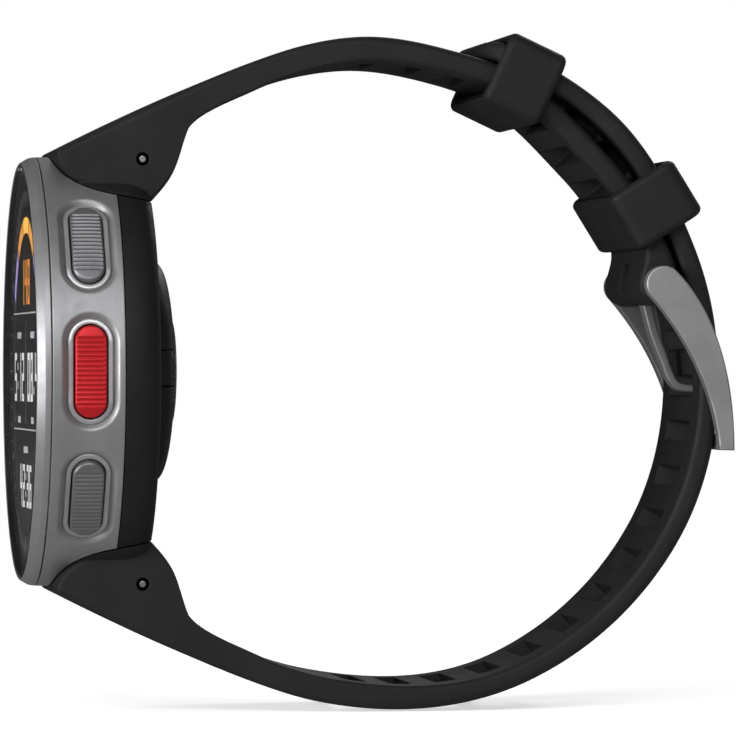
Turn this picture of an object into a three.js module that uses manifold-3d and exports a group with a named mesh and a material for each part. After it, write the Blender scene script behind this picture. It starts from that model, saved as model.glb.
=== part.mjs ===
// GPS running watch with its strap buckled in a loop.
// Millimetres. +X is the three-button side, -Y looks out of the dial, +Z is the upper strap (12 o'clock).
// The origin is the centre of the flat sensor window that rests on the wrist, on the case's axis, which is Y.
import * as THREE from "three";
import { mergeVertices } from "three/addons/utils/BufferGeometryUtils.js";
import Module from "manifold-3d";

const wasm = await Module();
wasm.setup();

// ---- Driving dimensions ----
const CASE_R = 23; // outer radius of the case
const CASE_WALL = 5.8; // depth of the middle case's wall, which holds the buttons
const GASKET_SEAT = 1.1; // width of the main gasket's step in the edge of the bore
const GLASS_FACE_Y = -16.4; // outer face of the glass
const GLASS_T = 1.55;
const BEZEL_W = 1.1; // from the edge of the glass to the side of the case
const BEZEL_CHAMFER = 0.6; // part of that which slopes back to the side
const BEZEL_Y = -14.9; // seam between bezel and middle case
const GLASS_GAP = 0.35; // between glass and bezel, filled by the lens gasket
const MID_REAR_Y = -7.1; // seam between middle case and rear case
const REAR_Y = -3.3; // flat back of the rear case
const REAR_FLOOR_T = 1.3;
const REAR_CORNER = 2.4; // rounded off between the side and the flat back
const REAR_WALL_STEP = 0.6; // the rear case's wall reaches this far inside the bore
const DIAL_SEAT_Y = -13.7; // floor of the display's seat in the middle case
const DIAL_SEAT_STEP = 1.9; // the seat is this much smaller than the glass
const DIAL_RING_W = 2.4;
const DISPLAY_T = 1.05;
const SENSOR_R = 12.5; // raised sensor housing on the back
const SENSOR_WALL = 1.3;
const WINDOW_R = 5.6;
const WINDOW_T = 0.9;
const WINDOW_LEDGE = 1; // rim that the sensor window is glued to
const SEAM = 0.1; // gap left at a seam between two shells
const FIT = 0.15; // gap around a piece let into another
const THIN_FIT = 0.08; // gap around a pin, screw or gasket

const PORT = { inset: 3.9, zLow: -1.5, zHigh: 2.2, y: -3.1 }; // let into the side of the sensor housing
const CONTACT_R = 0.3;
const CONTACTS = 4;
const SCREW_R = 1.1;
const SCREW_HEAD_T = 0.6;
const SCREWS = 4;

const BUTTON = {
  y: -10.8, // centre line of the buttons
  spread: 36.5, // degrees from the middle button to the next
  capW: 3.3,
  capL: 9.6,
  capT: 1.7,
  proud: 0.1, // how far the cap stands out of the case
  travel: 0.6,
  springRoom: 0.7, // left for the spring under a pressed cap
  ringWall: 0.55,
  pocketMargin: 0.7, // from the ring's edge to the dished pocket's
  pocketDepth: 0.8,
  stemR: 0.7,
  boreGap: 0.3, // around the stem
};
const SPRING = { r: 1.15, wire: 0.2, turns: 3 };
const O_RING_WIRE = 0.32;
const GROOVE_INSET = 1.3; // from the bore to the O-ring's groove
const GROOVE_L = 1;

const BOARD_T = 0.8;
const FRAME_WALL = 1;
const BATTERY_T = 4.6;
const MOTOR_T = 2.8;
const LAMP_W = 1.6;
const PHOTODIODE = { x: 2, z: 2.4, t: 0.6, place: 2.6 };

const LOOP_R = 33.35; // the two halves meet at this radius under the buckle
const LOOP_FRONT_Y = -11.35; // where a full circle of that radius would cross the case's axis
const STRAP_W = 21.5;
const STRAP_FLARE = 1.3; // added to the width at the case
const UPPER_START = -0.3; // wrist side of the upper half at the case, from LOOP_R
const UPPER_LIFT = 1.6; // how much of its inward step is made under the tail
const UPPER_T = 2.8; // thickness at the case
const UPPER_TUCKED_T = 2.4;
const LOWER_START = 2.55; // outside of the lower half at the bottom, from LOOP_R
const LOWER_T = 2.75; // thickness at the bottom
const LOWER_TUCKED_T = 2.2;
const LAYER_GAP = 0.25; // between the two halves where they lie on each other
const LOWER_TIP_DEG = 74.2;
const TAIL_NOSE = 4.5; // degrees over which the tail's tip rounds off
const TAIL_CORNER_R = 7;
const SLOT_L = 2.4; // along the strap
const SLOT_SHARE = 0.67; // a slot's width as a share of the strap's
const LOWER_SLOT_PITCH = 8.4; // degrees
const LOWER_SLOT_FIRST = -95;
const LOWER_SLOTS = 20;
const UPPER_SLOT_PITCH = 8.9;
const UPPER_SLOT_FIRST = 39.8;
const UPPER_SLOTS = 7;
const LUG_EAR_W = 11; // width of the case's ear inside the flared end
const LUG_EAR_WALL = 1.12; // round the strap pin
const EAR_FIT = 0.25; // gap round the ear
const LUG_PIN_R = 0.43;
const LUG_PIN_HOLE_R = 0.7;
const LUG_PIN_Y = -4.25;
const LUG_PIN_INSET = 0.5; // from the side of the case
const LUG_PIN_SUNK = 0.3; // how far its ends stay inside the strap

const PIVOT_IN = 2.35; // buckle pin, inside LOOP_R
const PIVOT_DEG = 17.6;
const KNUCKLE_R = 2.3; // rounded strap end around the buckle pin
const KNUCKLE_DEG = 8.4; // over which the strap thickens towards it
const PIN_R = 0.75;
const ARM_GAP = 0.45; // between the strap and a buckle arm
const ARM_T = 1.9;
const ARM_END_WALL = 1.2; // rounded end of an arm round the pin
const TANG_W = 2.4;
const TANG_T = 1; // at the pivot
const TANG_TIP_T = 0.7;
const TANG_EYE_WALL = 0.85;
const TANG_SIDE_GAP = 0.4; // in the strap's slot
const TANG_SLOT_L = 7.4;
const NOTCH_GAP = 0.3; // beside the tang's tip in the bar

const KEEPER_WALL = 0.9; // over and under the strap
const KEEPER_SIDE = 1.6; // wall beside the strap
const KEEPER_SIDE_FIT = 0.28; // gap between strap and keeper at the sides
const KEEPER_L = 6.7;
const KEEPER_GAP = 0.2; // over and under the strap where it is thickest
const KEEPER_TAIL_DEG = 64.8; // middle of the outer keeper
// Degrees of strap that a keeper has to clear behind and ahead of its middle as it slides.
const KEEPER_CLEARS = {
  keeper_buckle: { back: 0, forward: 13 },
  keeper_tail: { back: 9, forward: 7 },
};

const SEGMENTS = 64; // around the case's outer shells
const INNER_SEGMENTS = 32;
const PIN_SEGMENTS = 16;

// ---- Sizes that follow from them ----
const CASE_BORE_R = CASE_R - CASE_WALL;
const GASKET_R = CASE_BORE_R + GASKET_SEAT;
const GLASS_R = CASE_R - BEZEL_W;
const REAR_R = CASE_R - REAR_CORNER;
const REAR_BORE_R = CASE_BORE_R - REAR_WALL_STEP;
const DIAL_SEAT_R = GLASS_R - DIAL_SEAT_STEP;
const DISPLAY_R = DIAL_SEAT_R - DIAL_RING_W;
const SENSOR_HOLE_R = SENSOR_R + FIT;
const SCREW_RING_R = (SENSOR_HOLE_R + REAR_R) / 2;
const FRAME_R = CASE_BORE_R - 0.8;
const FRAME_BORE_R = FRAME_R - FRAME_WALL;
const PORT_X = SENSOR_R - PORT.inset;
const CONTACT_X = PORT_X + 1.5;
const RING_W = BUTTON.capW + 2 * (FIT + BUTTON.ringWall);
const RING_L = BUTTON.capL + 2 * (FIT + BUTTON.ringWall);
const CAP_BACK_X = CASE_R + BUTTON.proud - BUTTON.capT;
const RING_FLOOR_X = CAP_BACK_X - BUTTON.travel - BUTTON.springRoom;
const STEM_TIP_X = CASE_BORE_R + SEAM;
const GROOVE_X = CASE_BORE_R + GROOVE_INSET;
const LOOP_Y = LOOP_FRONT_Y + LOOP_R;
const STRAP_END_W = STRAP_W + STRAP_FLARE;
const SLOT_W = STRAP_W * SLOT_SHARE;
const LUG_PIN_Z = CASE_R - LUG_PIN_INSET;
const PIVOT_R = LOOP_R - PIVOT_IN;
const ARM_X = STRAP_W / 2 + ARM_GAP; // inner face of a buckle arm
const ARM_END_R = PIN_R + ARM_END_WALL;
const TANG_SLOT_W = TANG_W + 2 * TANG_SIDE_GAP;
const KEEPER_BUCKLE_DEG = PIVOT_DEG + KNUCKLE_DEG + ((KEEPER_L / 2 / LOOP_R) * 180) / Math.PI;

// ---- Materials ----
const material = (color, roughness, metalness) =>
  new THREE.MeshStandardMaterial({ color, roughness, metalness });
const titanium = () => material(0x8c8c8e, 0.35, 0.9);
const brightMetal = () => material(0xb4b4b6, 0.3, 0.95);
const steel = () => material(0xc4c4c6, 0.25, 1);
const redMetal = () => material(0xbe141a, 0.35, 0.6);
const blackRubber = () => material(0x2b2b2c, 0.75, 0);
const blackPolymer = () => material(0x242425, 0.55, 0);
const darkGlass = () => material(0x0c0c0e, 0.05, 0);
const boardGreen = () => material(0x1c5a36, 0.6, 0);
const foil = () => material(0x9a9a9c, 0.45, 0.6);
const gold = () => material(0xd4af5a, 0.3, 1);
const lamp = () => material(0x9be29b, 0.3, 0);

const group = new THREE.Group();

// ---- Solids ----
function solid(geometry) {
  const bare = geometry.clone();
  bare.deleteAttribute("normal");
  bare.deleteAttribute("uv");
  const merged = mergeVertices(bare, 1e-4);
  return new wasm.Manifold(
    new wasm.Mesh({
      numProp: 3,
      vertProperties: merged.attributes.position.array,
      triVerts: new Uint32Array(merged.index.array),
    }),
  );
}

function geometryOf(made) {
  const mesh = made.getMesh();
  const positions = new Float32Array(mesh.vertProperties);
  const geometry = new THREE.BufferGeometry();
  geometry.setAttribute("position", new THREE.BufferAttribute(positions, 3));
  geometry.setIndex(new THREE.BufferAttribute(new Uint32Array(mesh.triVerts), 1));
  geometry.computeVertexNormals();
  return geometry;
}

function add(name, made, finish, parent = group) {
  const mesh = new THREE.Mesh(geometryOf(made), finish);
  mesh.name = name;
  parent.add(mesh);
}

// A body of revolution about the case's axis; the profile is [radius, y] points, counterclockwise.
function turned(profile, segments = SEGMENTS) {
  const points = [...profile, profile[0]].map(([r, y]) => new THREE.Vector2(r, y));
  return solid(new THREE.LatheGeometry(points, segments));
}

// A (y, z) outline extruded along X from x0 to x1.
const ALONG_X = new THREE.Matrix4().set(0, 0, 1, 0, 1, 0, 0, 0, 0, 1, 0, 0, 0, 0, 0, 1);

function slab(shape, x0, x1, curveSegments = 4) {
  const geometry = new THREE.ExtrudeGeometry(shape, {
    depth: x1 - x0,
    bevelEnabled: false,
    curveSegments,
    steps: 1,
  });
  geometry.applyMatrix4(ALONG_X);
  geometry.translate(x0, 0, 0);
  return solid(geometry);
}

function box(low, high) {
  const size = high.map((value, i) => value - low[i]);
  const geometry = new THREE.BoxGeometry(...size);
  geometry.translate(...low.map((value, i) => value + size[i] / 2));
  return solid(geometry);
}

function rodX(radius, x0, x1, y, z, segments = PIN_SEGMENTS) {
  const geometry = new THREE.CylinderGeometry(radius, radius, x1 - x0, segments);
  geometry.rotateZ(Math.PI / 2);
  geometry.translate((x0 + x1) / 2, y, z);
  return solid(geometry);
}

function rodY(radius, y0, y1, x, z, segments = PIN_SEGMENTS) {
  const geometry = new THREE.CylinderGeometry(radius, radius, y1 - y0, segments);
  geometry.translate(x, (y0 + y1) / 2, z);
  return solid(geometry);
}

function stadium(width, length, y) {
  const half = (length - width) / 2;
  const shape = new THREE.Shape();
  shape.absarc(y, half, width / 2, 0, Math.PI, false);
  shape.absarc(y, -half, width / 2, Math.PI, 2 * Math.PI, false);
  return shape;
}

// ---- Strap outlines, in polar terms about the loop's centre ----
const LOOP_CENTRE = new THREE.Vector3(0, LOOP_Y, 0);
const radians = (degrees) => (degrees * Math.PI) / 180;
const polar = (radius, degrees) => [
  LOOP_Y + radius * Math.cos(radians(degrees)),
  radius * Math.sin(radians(degrees)),
];

function ease(t) {
  const u = Math.min(Math.max(t, 0), 1);
  return u * u * (3 - 2 * u);
}

function arc(radiusAt, from, to, step = 2.5) {
  const count = Math.ceil(Math.abs(to - from) / step);
  const points = [];
  for (let i = 0; i <= count; i += 1) {
    const degrees = from + ((to - from) * i) / count;
    points.push(polar(radiusAt(degrees), degrees));
  }
  return points;
}

function upperFlat(degrees) {
  const start = UPPER_START + UPPER_TUCKED_T;
  const lift = UPPER_LIFT * ease((degrees - 44) / 28);
  return LOOP_R - UPPER_TUCKED_T + lift + (start - UPPER_LIFT) * ease((degrees - 75) / 20);
}

function upperInner(degrees) {
  const dip = ease((PIVOT_DEG + KNUCKLE_DEG - degrees) / KNUCKLE_DEG);
  return upperFlat(degrees) + (UPPER_TUCKED_T - PIVOT_IN - KNUCKLE_R) * dip;
}

const upperOuter = (degrees) =>
  upperFlat(degrees) + UPPER_TUCKED_T + (UPPER_T - UPPER_TUCKED_T) * ease((degrees - 75) / 25);

// The lower half is a little wide of a circle below, and lifts over the keepers and the upper half.
const lowerFlat = (degrees) =>
  LOOP_R +
  LOWER_START +
  0.6 * ease((degrees + 100) / 35) -
  0.5 * ease((degrees + 30) / 35) +
  1.05 * ease((degrees - 22) / 28) +
  0.45 * ease((degrees - 60) / 12);

function lowerInner(degrees) {
  const thickness = LOWER_T - (LOWER_T - LOWER_TUCKED_T) * ease((degrees + 100) / 35);
  const over = degrees > 40 ? upperOuter(degrees) + LAYER_GAP : 0;
  return Math.max(lowerFlat(degrees) - thickness, over);
}

function lowerOuter(degrees) {
  const along = Math.max((degrees - LOWER_TIP_DEG + TAIL_NOSE) / TAIL_NOSE, 0);
  const inner = lowerInner(degrees);
  return inner + (lowerFlat(degrees) - inner) * Math.sqrt(Math.max(1 - along * along, 0.01));
}

// ---- The flared strap end and the pocket it fills in the case, drawn for the upper side ----
const LUG_FRONT = [-13.5, CASE_R - 0.1];
const LUG_BEND = [-13, CASE_R - 3.4];
const LUG_MIDDLE = [MID_REAR_Y, CASE_R - 4.4];
const LUG_REAR = [REAR_Y, CASE_R - 5.15];
const LUG_OUT = CASE_R + 1.5; // clear of the case
const STRAP_TIP = CASE_R + 0.4;
// The strap end's back, from the rear of the seat to where it turns up towards the loop.
const LUG_HEEL = [
  [REAR_Y + 1.7, CASE_R - 3.1],
  [REAR_Y + 2.75, CASE_R - 1.2],
  [REAR_Y + 3.6, CASE_R + 2],
];
const STRAP_TURN = CASE_R + 4.2; // height of the turn on both sides of the strap
const OUTER_JOIN_DEG = 108;
const INNER_JOIN_DEG = 115;

function followSeat(shape, gap) {
  shape.lineTo(LUG_FRONT[0] + gap, LUG_FRONT[1]);
  shape.quadraticCurveTo(
    LUG_BEND[0] + gap,
    LUG_BEND[1] + gap,
    LUG_MIDDLE[0],
    LUG_MIDDLE[1] + gap,
  );
  shape.lineTo(LUG_REAR[0], LUG_REAR[1] + gap);
}

function seatShape(gap, rearY) {
  const shape = new THREE.Shape();
  shape.moveTo(LUG_FRONT[0] + gap, LUG_OUT);
  followSeat(shape, gap);
  shape.lineTo(rearY, LUG_REAR[1] + gap);
  shape.lineTo(rearY, LUG_OUT);
  return shape;
}

// Outline of a strap half from its front tip, along the case, up the wrist side and round the loop.
function strapShape(outerAt, innerAt, endOutline) {
  const shape = new THREE.Shape();
  const tip = [LUG_FRONT[0] + FIT, STRAP_TIP];
  shape.moveTo(...tip);
  followSeat(shape, FIT);
  trace(shape, LUG_HEEL);
  const [innerY, innerZ] = polar(innerAt(INNER_JOIN_DEG), INNER_JOIN_DEG);
  shape.bezierCurveTo(REAR_Y + 4.2, STRAP_TURN, innerY - 2.7, innerZ - 1.3, innerY, innerZ);
  endOutline(shape);
  const [outerY, outerZ] = polar(outerAt(OUTER_JOIN_DEG), OUTER_JOIN_DEG);
  shape.bezierCurveTo(outerY - 7.6, outerZ - 2.5, REAR_Y - 2.7, STRAP_TURN, ...tip);
  return shape;
}

const trace = (shape, points) => points.forEach(([y, z]) => shape.lineTo(y, z));

function upperEnd(shape) {
  const knuckleTop = PIVOT_DEG + KNUCKLE_DEG + 2;
  trace(shape, arc(upperInner, INNER_JOIN_DEG, knuckleTop + 2));
  trace(shape, arc(upperInner, knuckleTop, PIVOT_DEG + 1, 2));
  const [y, z] = polar(PIVOT_R, PIVOT_DEG);
  shape.absarc(y, z, KNUCKLE_R, radians(PIVOT_DEG - 180), radians(PIVOT_DEG), false);
  trace(shape, arc(upperOuter, PIVOT_DEG + 5, OUTER_JOIN_DEG));
}

function lowerEnd(shape) {
  const noseStart = LOWER_TIP_DEG - TAIL_NOSE;
  trace(shape, arc(lowerInnerFromCase, INNER_JOIN_DEG, -noseStart));
  trace(shape, arc(lowerInnerFromCase, -noseStart - 1, -LOWER_TIP_DEG, 1));
  trace(shape, arc(lowerOuterFromCase, -LOWER_TIP_DEG, -noseStart, 1));
  trace(shape, arc(lowerOuterFromCase, -noseStart + 4, OUTER_JOIN_DEG));
}

// The lower half is drawn mirrored, as an upper half whose end runs on round the loop.
const lowerInnerFromCase = (degrees) => lowerInner(-degrees);
const lowerOuterFromCase = (degrees) => lowerOuter(-degrees);

function flare(made) {
  const mesh = made.getMesh();
  const positions = new Float32Array(mesh.vertProperties);
  const widening = STRAP_END_W / STRAP_W - 1;
  for (let i = 0; i < positions.length; i += 3) {
    positions[i] *= 1 + widening * ease((6 - positions[i + 1]) / 12);
  }
  return new wasm.Manifold(
    new wasm.Mesh({ numProp: 3, vertProperties: positions, triVerts: mesh.triVerts }),
  );
}

// A block across the strap: its place is polar, its length runs along the strap.
function strapBlock(degrees, radius, length, width, depth) {
  const geometry = new THREE.BoxGeometry(width, depth, length);
  geometry.rotateX(radians(degrees));
  geometry.translate(0, ...polar(radius, degrees));
  return solid(geometry);
}

function cutSlots(half, first, pitch, count, radius) {
  let cut = half;
  for (let i = 0; i < count; i += 1) {
    cut = cut.subtract(strapBlock(first + i * pitch, radius, SLOT_L, SLOT_W, CUT));
  }
  return cut;
}

// The ear on the rear case that the strap pin passes through, grown by gap for its recess in the strap.
function earShape(gap) {
  const shape = new THREE.Shape();
  const front = MID_REAR_Y + 0.5 - gap;
  shape.moveTo(front, CASE_BORE_R);
  shape.lineTo(front, LUG_PIN_Z - 2);
  shape.absarc(LUG_PIN_Y, LUG_PIN_Z, LUG_EAR_WALL + LUG_PIN_R + gap, radians(170), 0, true);
  shape.lineTo(REAR_Y + 0.3 + gap, CASE_BORE_R);
  return shape;
}

const mirrored = (made) => made.mirror([0, 0, 1]);
// The rear case's rounded corner, from the seam at its side to the flat back.
const rearCorner = [
  [CASE_R, MID_REAR_Y],
  [CASE_R - 0.1, MID_REAR_Y + 1.1],
  [CASE_R - 0.6, REAR_Y - 1.4],
  [CASE_R - 1.5, REAR_Y - 0.4],
  [REAR_R, REAR_Y],
];
const caseEnvelope = turned([
  [0, BEZEL_Y + SEAM],
  [CASE_R, BEZEL_Y + SEAM],
  ...rearCorner,
  [0, REAR_Y],
]);
const CUT = 8; // depth of a cutting block that goes right through a strap

function strapHalf(shape) {
  const wrap = caseEnvelope.intersect(slab(seatShape(FIT, REAR_Y + 1), -CASE_R, CASE_R));
  const end = flare(slab(shape, -STRAP_W / 2, STRAP_W / 2, 12)).add(wrap);
  const recessX = LUG_EAR_W / 2 + EAR_FIT;
  const recess = slab(earShape(EAR_FIT), -recessX, recessX);
  const bore = rodX(LUG_PIN_HOLE_R, -STRAP_END_W, STRAP_END_W, LUG_PIN_Y, LUG_PIN_Z);
  return end.subtract(recess).subtract(bore);
}

function upperStrap() {
  const half = strapHalf(strapShape(upperOuter, upperInner, upperEnd));
  const slotted = cutSlots(half, UPPER_SLOT_FIRST, UPPER_SLOT_PITCH, UPPER_SLOTS, LOOP_R);
  const pivot = polar(PIVOT_R, PIVOT_DEG);
  const tangSlot = strapBlock(PIVOT_DEG - 2, PIVOT_R, TANG_SLOT_L, TANG_SLOT_W, CUT);
  const bore = rodX(PIN_R + THIN_FIT, -STRAP_W, STRAP_W, ...pivot);
  return slotted.subtract(tangSlot).subtract(bore);
}

// Rounds one corner of the tail's tip as seen from outside.
function tailCorner(side) {
  const r = TAIL_CORNER_R;
  const half = STRAP_W / 2;
  const shape = new THREE.Shape();
  shape.moveTo(-r, half);
  shape.absarc(-r, half - r, r, Math.PI / 2, 0, true);
  shape.lineTo(2, half - r);
  shape.lineTo(2, half + 1);
  shape.lineTo(-r, half + 1);
  const geometry = new THREE.ExtrudeGeometry(shape, {
    depth: CUT,
    bevelEnabled: false,
    curveSegments: 6,
  });
  const along = new THREE.Vector3(0, ...polar(1, LOWER_TIP_DEG + 90)).sub(LOOP_CENTRE);
  const outward = new THREE.Vector3(0, ...polar(1, LOWER_TIP_DEG)).sub(LOOP_CENTRE);
  const place = new THREE.Matrix4().makeBasis(along, new THREE.Vector3(1, 0, 0), outward);
  place.setPosition(0, ...polar(upperFlat(LOWER_TIP_DEG) + 0.5, LOWER_TIP_DEG));
  geometry.applyMatrix4(place);
  const made = solid(geometry);
  return side > 0 ? made : made.mirror([1, 0, 0]);
}

function lowerStrap() {
  const drawn = strapHalf(strapShape(lowerOuterFromCase, lowerInnerFromCase, lowerEnd));
  const half = mirrored(drawn);
  const radius = LOOP_R + LOWER_START - LOWER_TUCKED_T / 2;
  const slotted = cutSlots(half, LOWER_SLOT_FIRST, LOWER_SLOT_PITCH, LOWER_SLOTS, radius);
  return slotted.subtract(tailCorner(1)).subtract(tailCorner(-1));
}

function strapPin(side) {
  const reach = STRAP_END_W / 2 - LUG_PIN_SUNK;
  return rodX(LUG_PIN_R, -reach, reach, LUG_PIN_Y, side * LUG_PIN_Z);
}

// ---- Buttons: each is made at +X and turned round the case's axis ----
const buttonAngles = {
  up: BUTTON.spread,
  ok: 0,
  down: -BUTTON.spread,
  light: 180 - BUTTON.spread,
  back: 180 + BUTTON.spread,
};
const atRadius = (radius) =>
  turned(
    [
      [0, BUTTON.y - RING_W],
      [radius, BUTTON.y - RING_W],
      [radius, BUTTON.y + RING_W],
      [0, BUTTON.y + RING_W],
    ],
    SEGMENTS,
  );

function buttonCap() {
  const { capW, capL, y, stemR } = BUTTON;
  const cap = slab(stadium(capW, capL, y), CAP_BACK_X, CASE_R + 1);
  const faced = cap.intersect(atRadius(CASE_R + BUTTON.proud));
  return faced.add(rodX(stemR, STEM_TIP_X, CAP_BACK_X + 0.3, y, 0, 12));
}

function buttonRing() {
  const { ringWall, y, pocketDepth } = BUTTON;
  const outer = slab(stadium(RING_W, RING_L, y), RING_FLOOR_X + FIT, CASE_R);
  const inner = slab(stadium(RING_W - 2 * ringWall, RING_L - 2 * ringWall, y), 0, CASE_R + 1);
  return outer.subtract(inner).intersect(atRadius(CASE_R - pocketDepth / 2));
}

function buttonHole() {
  const { pocketMargin, y, pocketDepth, stemR, boreGap } = BUTTON;
  const pocketShape = stadium(RING_W + 2 * pocketMargin, RING_L + 2 * pocketMargin, y);
  const pocket = slab(pocketShape, RING_FLOOR_X, CASE_R + 1);
  const dished = pocket.subtract(atRadius(CASE_R - pocketDepth));
  const seat = slab(stadium(RING_W + 2 * FIT, RING_L + 2 * FIT, y), RING_FLOOR_X, CASE_R + 1);
  const bore = rodX(stemR + boreGap, CASE_BORE_R - 2, CASE_R, y, 0, 12);
  const grooveR = stemR + 2 * O_RING_WIRE + THIN_FIT;
  const groove = rodX(grooveR, GROOVE_X, GROOVE_X + GROOVE_L, y, 0);
  return dished.add(seat).add(bore).add(groove);
}

function buttonSpring() {
  const start = RING_FLOOR_X + SPRING.wire;
  const end = CAP_BACK_X - SPRING.wire;
  const points = [];
  const stepsPerTurn = 9;
  const steps = SPRING.turns * stepsPerTurn;
  for (let i = 0; i <= steps; i += 1) {
    const angle = (i / stepsPerTurn) * 2 * Math.PI;
    points.push(
      new THREE.Vector3(
        start + ((end - start) * i) / steps,
        BUTTON.y + SPRING.r * Math.cos(angle),
        SPRING.r * Math.sin(angle),
      ),
    );
  }
  const wire = new THREE.Shape();
  wire.absarc(0, 0, SPRING.wire / 2, 0, 2 * Math.PI, false);
  const geometry = new THREE.ExtrudeGeometry(wire, {
    steps,
    curveSegments: 3,
    bevelEnabled: false,
    extrudePath: new THREE.CatmullRomCurve3(points),
  });
  return solid(geometry);
}

function buttonORing() {
  const middleR = BUTTON.stemR + O_RING_WIRE + THIN_FIT / 2;
  const geometry = new THREE.TorusGeometry(middleR, O_RING_WIRE, 5, 12);
  geometry.rotateY(Math.PI / 2);
  geometry.translate(GROOVE_X + GROOVE_L / 2, BUTTON.y, 0);
  return solid(geometry);
}

function addButtons() {
  for (const [name, degrees] of Object.entries(buttonAngles)) {
    const button = new THREE.Group();
    button.rotation.y = -radians(degrees);
    group.add(button);
    add(`button_${name}`, buttonCap(), name === "ok" ? redMetal() : titanium(), button);
    add(`button_ring_${name}`, buttonRing(), brightMetal(), button);
    add(`button_spring_${name}`, buttonSpring(), steel(), button);
    add(`button_seal_${name}`, buttonORing(), blackRubber(), button);
  }
}

// ---- Case ----
const seats = () => {
  const upper = slab(seatShape(0, REAR_Y + 1), -CASE_R, CASE_R);
  return upper.add(mirrored(upper));
};

function bezelRing() {
  return turned([
    [GLASS_R + GLASS_GAP, BEZEL_Y - SEAM],
    [GLASS_R + GLASS_GAP, GLASS_FACE_Y - 0.05],
    [CASE_R - BEZEL_CHAMFER, GLASS_FACE_Y + FIT],
    [CASE_R - FIT, BEZEL_Y - 0.4],
    [CASE_R, BEZEL_Y - SEAM],
  ]);
}

const GASKET_T = 0.6;

function midCase() {
  const stepY = MID_REAR_Y - GASKET_T - SEAM / 2;
  const body = turned([
    [CASE_R, BEZEL_Y + SEAM],
    [CASE_R, MID_REAR_Y - SEAM],
    [GASKET_R, MID_REAR_Y - SEAM],
    [GASKET_R, stepY],
    [CASE_BORE_R, stepY],
    [CASE_BORE_R, DIAL_SEAT_Y],
    [DIAL_SEAT_R, DIAL_SEAT_Y],
    [DIAL_SEAT_R, BEZEL_Y + SEAM],
  ]);
  let cut = body.subtract(seats());
  for (const degrees of Object.values(buttonAngles)) {
    cut = cut.subtract(buttonHole().rotate([0, -degrees, 0]));
  }
  return cut;
}

function mainGasket() {
  const back = MID_REAR_Y - 0.02;
  const inner = CASE_BORE_R + SEAM;
  return ring(inner, GASKET_R - THIN_FIT, back - GASKET_T + 0.02, back, 48);
}

const screwPlaces = Array.from({ length: SCREWS }, (_, i) => {
  const angle = ((i + 0.5) * 2 * Math.PI) / SCREWS;
  return [SCREW_RING_R * Math.cos(angle), SCREW_RING_R * Math.sin(angle)];
});

function rearCase() {
  const floorY = REAR_Y - REAR_FLOOR_T;
  const shell = turned([
    ...rearCorner,
    [SENSOR_HOLE_R, REAR_Y],
    [SENSOR_HOLE_R, floorY],
    [REAR_BORE_R, floorY],
    [REAR_BORE_R, MID_REAR_Y],
  ]);
  const ear = slab(earShape(0), -LUG_EAR_W / 2, LUG_EAR_W / 2);
  const bore = rodX(LUG_PIN_R + THIN_FIT, -LUG_EAR_W, LUG_EAR_W, LUG_PIN_Y, LUG_PIN_Z);
  const drilled = ear.subtract(bore);
  let cut = shell.subtract(seats()).add(drilled).add(mirrored(drilled));
  for (const [x, z] of screwPlaces) {
    cut = cut.subtract(rodY(SCREW_R + THIN_FIT, REAR_Y - SCREW_HEAD_T, REAR_Y + 1, x, z));
  }
  return cut;
}

// A countersunk star-drive screw, seated just below the back.
function backScrew(x, z) {
  const top = REAR_Y - THIN_FIT;
  const head = rodY(SCREW_R, REAR_Y - SCREW_HEAD_T + 0.04, top, x, z);
  const drive = rodY(SCREW_R * 0.45, top - SCREW_HEAD_T / 2, top + 1, x, z, 6);
  return head.subtract(drive);
}

// ---- Sensor housing ----
const SENSOR_FLANGE_T = 1;
const SENSOR_EDGE_R = WINDOW_R + SEAM;
const sensorOutline = [
  [0, REAR_Y - SENSOR_FLANGE_T],
  [SENSOR_R, REAR_Y - SENSOR_FLANGE_T],
  [SENSOR_R, REAR_Y],
  [SENSOR_R - 0.4, REAR_Y * 0.64],
  [SENSOR_R - 1.1, REAR_Y * 0.39],
  [SENSOR_R - 2.3, REAR_Y * 0.26],
  [SENSOR_R - 3.9, REAR_Y * 0.17],
  [SENSOR_EDGE_R, -0.2],
  [0, -0.2],
];
const portBlock = (gap) =>
  box([PORT_X - gap, PORT.y - gap, PORT.zLow - gap], [SENSOR_R + 1, 1, PORT.zHigh + gap]);

function sensorCover() {
  const innerR = SENSOR_R - SENSOR_WALL;
  const roofY = -WINDOW_T - 0.8;
  const inner = turned(
    [
      [0, REAR_Y - 2],
      [innerR, REAR_Y - 2],
      [innerR, REAR_Y + 0.1],
      [innerR - 3.4, roofY],
      [0, roofY],
    ],
    INNER_SEGMENTS,
  );
  const windowHole = rodY(SENSOR_EDGE_R, -WINDOW_T - SEAM, 1, 0, 0, 48);
  const lightHole = rodY(WINDOW_R - WINDOW_LEDGE, REAR_Y, 1, 0, 0, 24);
  const dome = turned(sensorOutline);
  const shell = dome.subtract(inner).subtract(windowHole).subtract(lightHole);
  return shell.subtract(portBlock(FIT));
}

const contactPlaces = Array.from({ length: CONTACTS }, (_, i) => {
  const pitch = (PORT.zHigh - PORT.zLow) / CONTACTS;
  return PORT.zLow + (i + 0.5) * pitch;
});

const PORT_BACK_Y = REAR_Y - 0.7;

function chargePort() {
  const outer = turned(sensorOutline).intersect(portBlock(0));
  let cut = outer.intersect(box([0, PORT_BACK_Y, -5], [SENSOR_R - 0.2, 1, 5]));
  for (const z of contactPlaces) {
    cut = cut.subtract(rodY(CONTACT_R + THIN_FIT / 2, PORT_BACK_Y, 1, CONTACT_X, z, 10));
  }
  return cut;
}

function chargeContact(z) {
  return rodY(CONTACT_R, PORT.y + SEAM, PORT.y + 2.15, CONTACT_X, z, 10);
}

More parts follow.
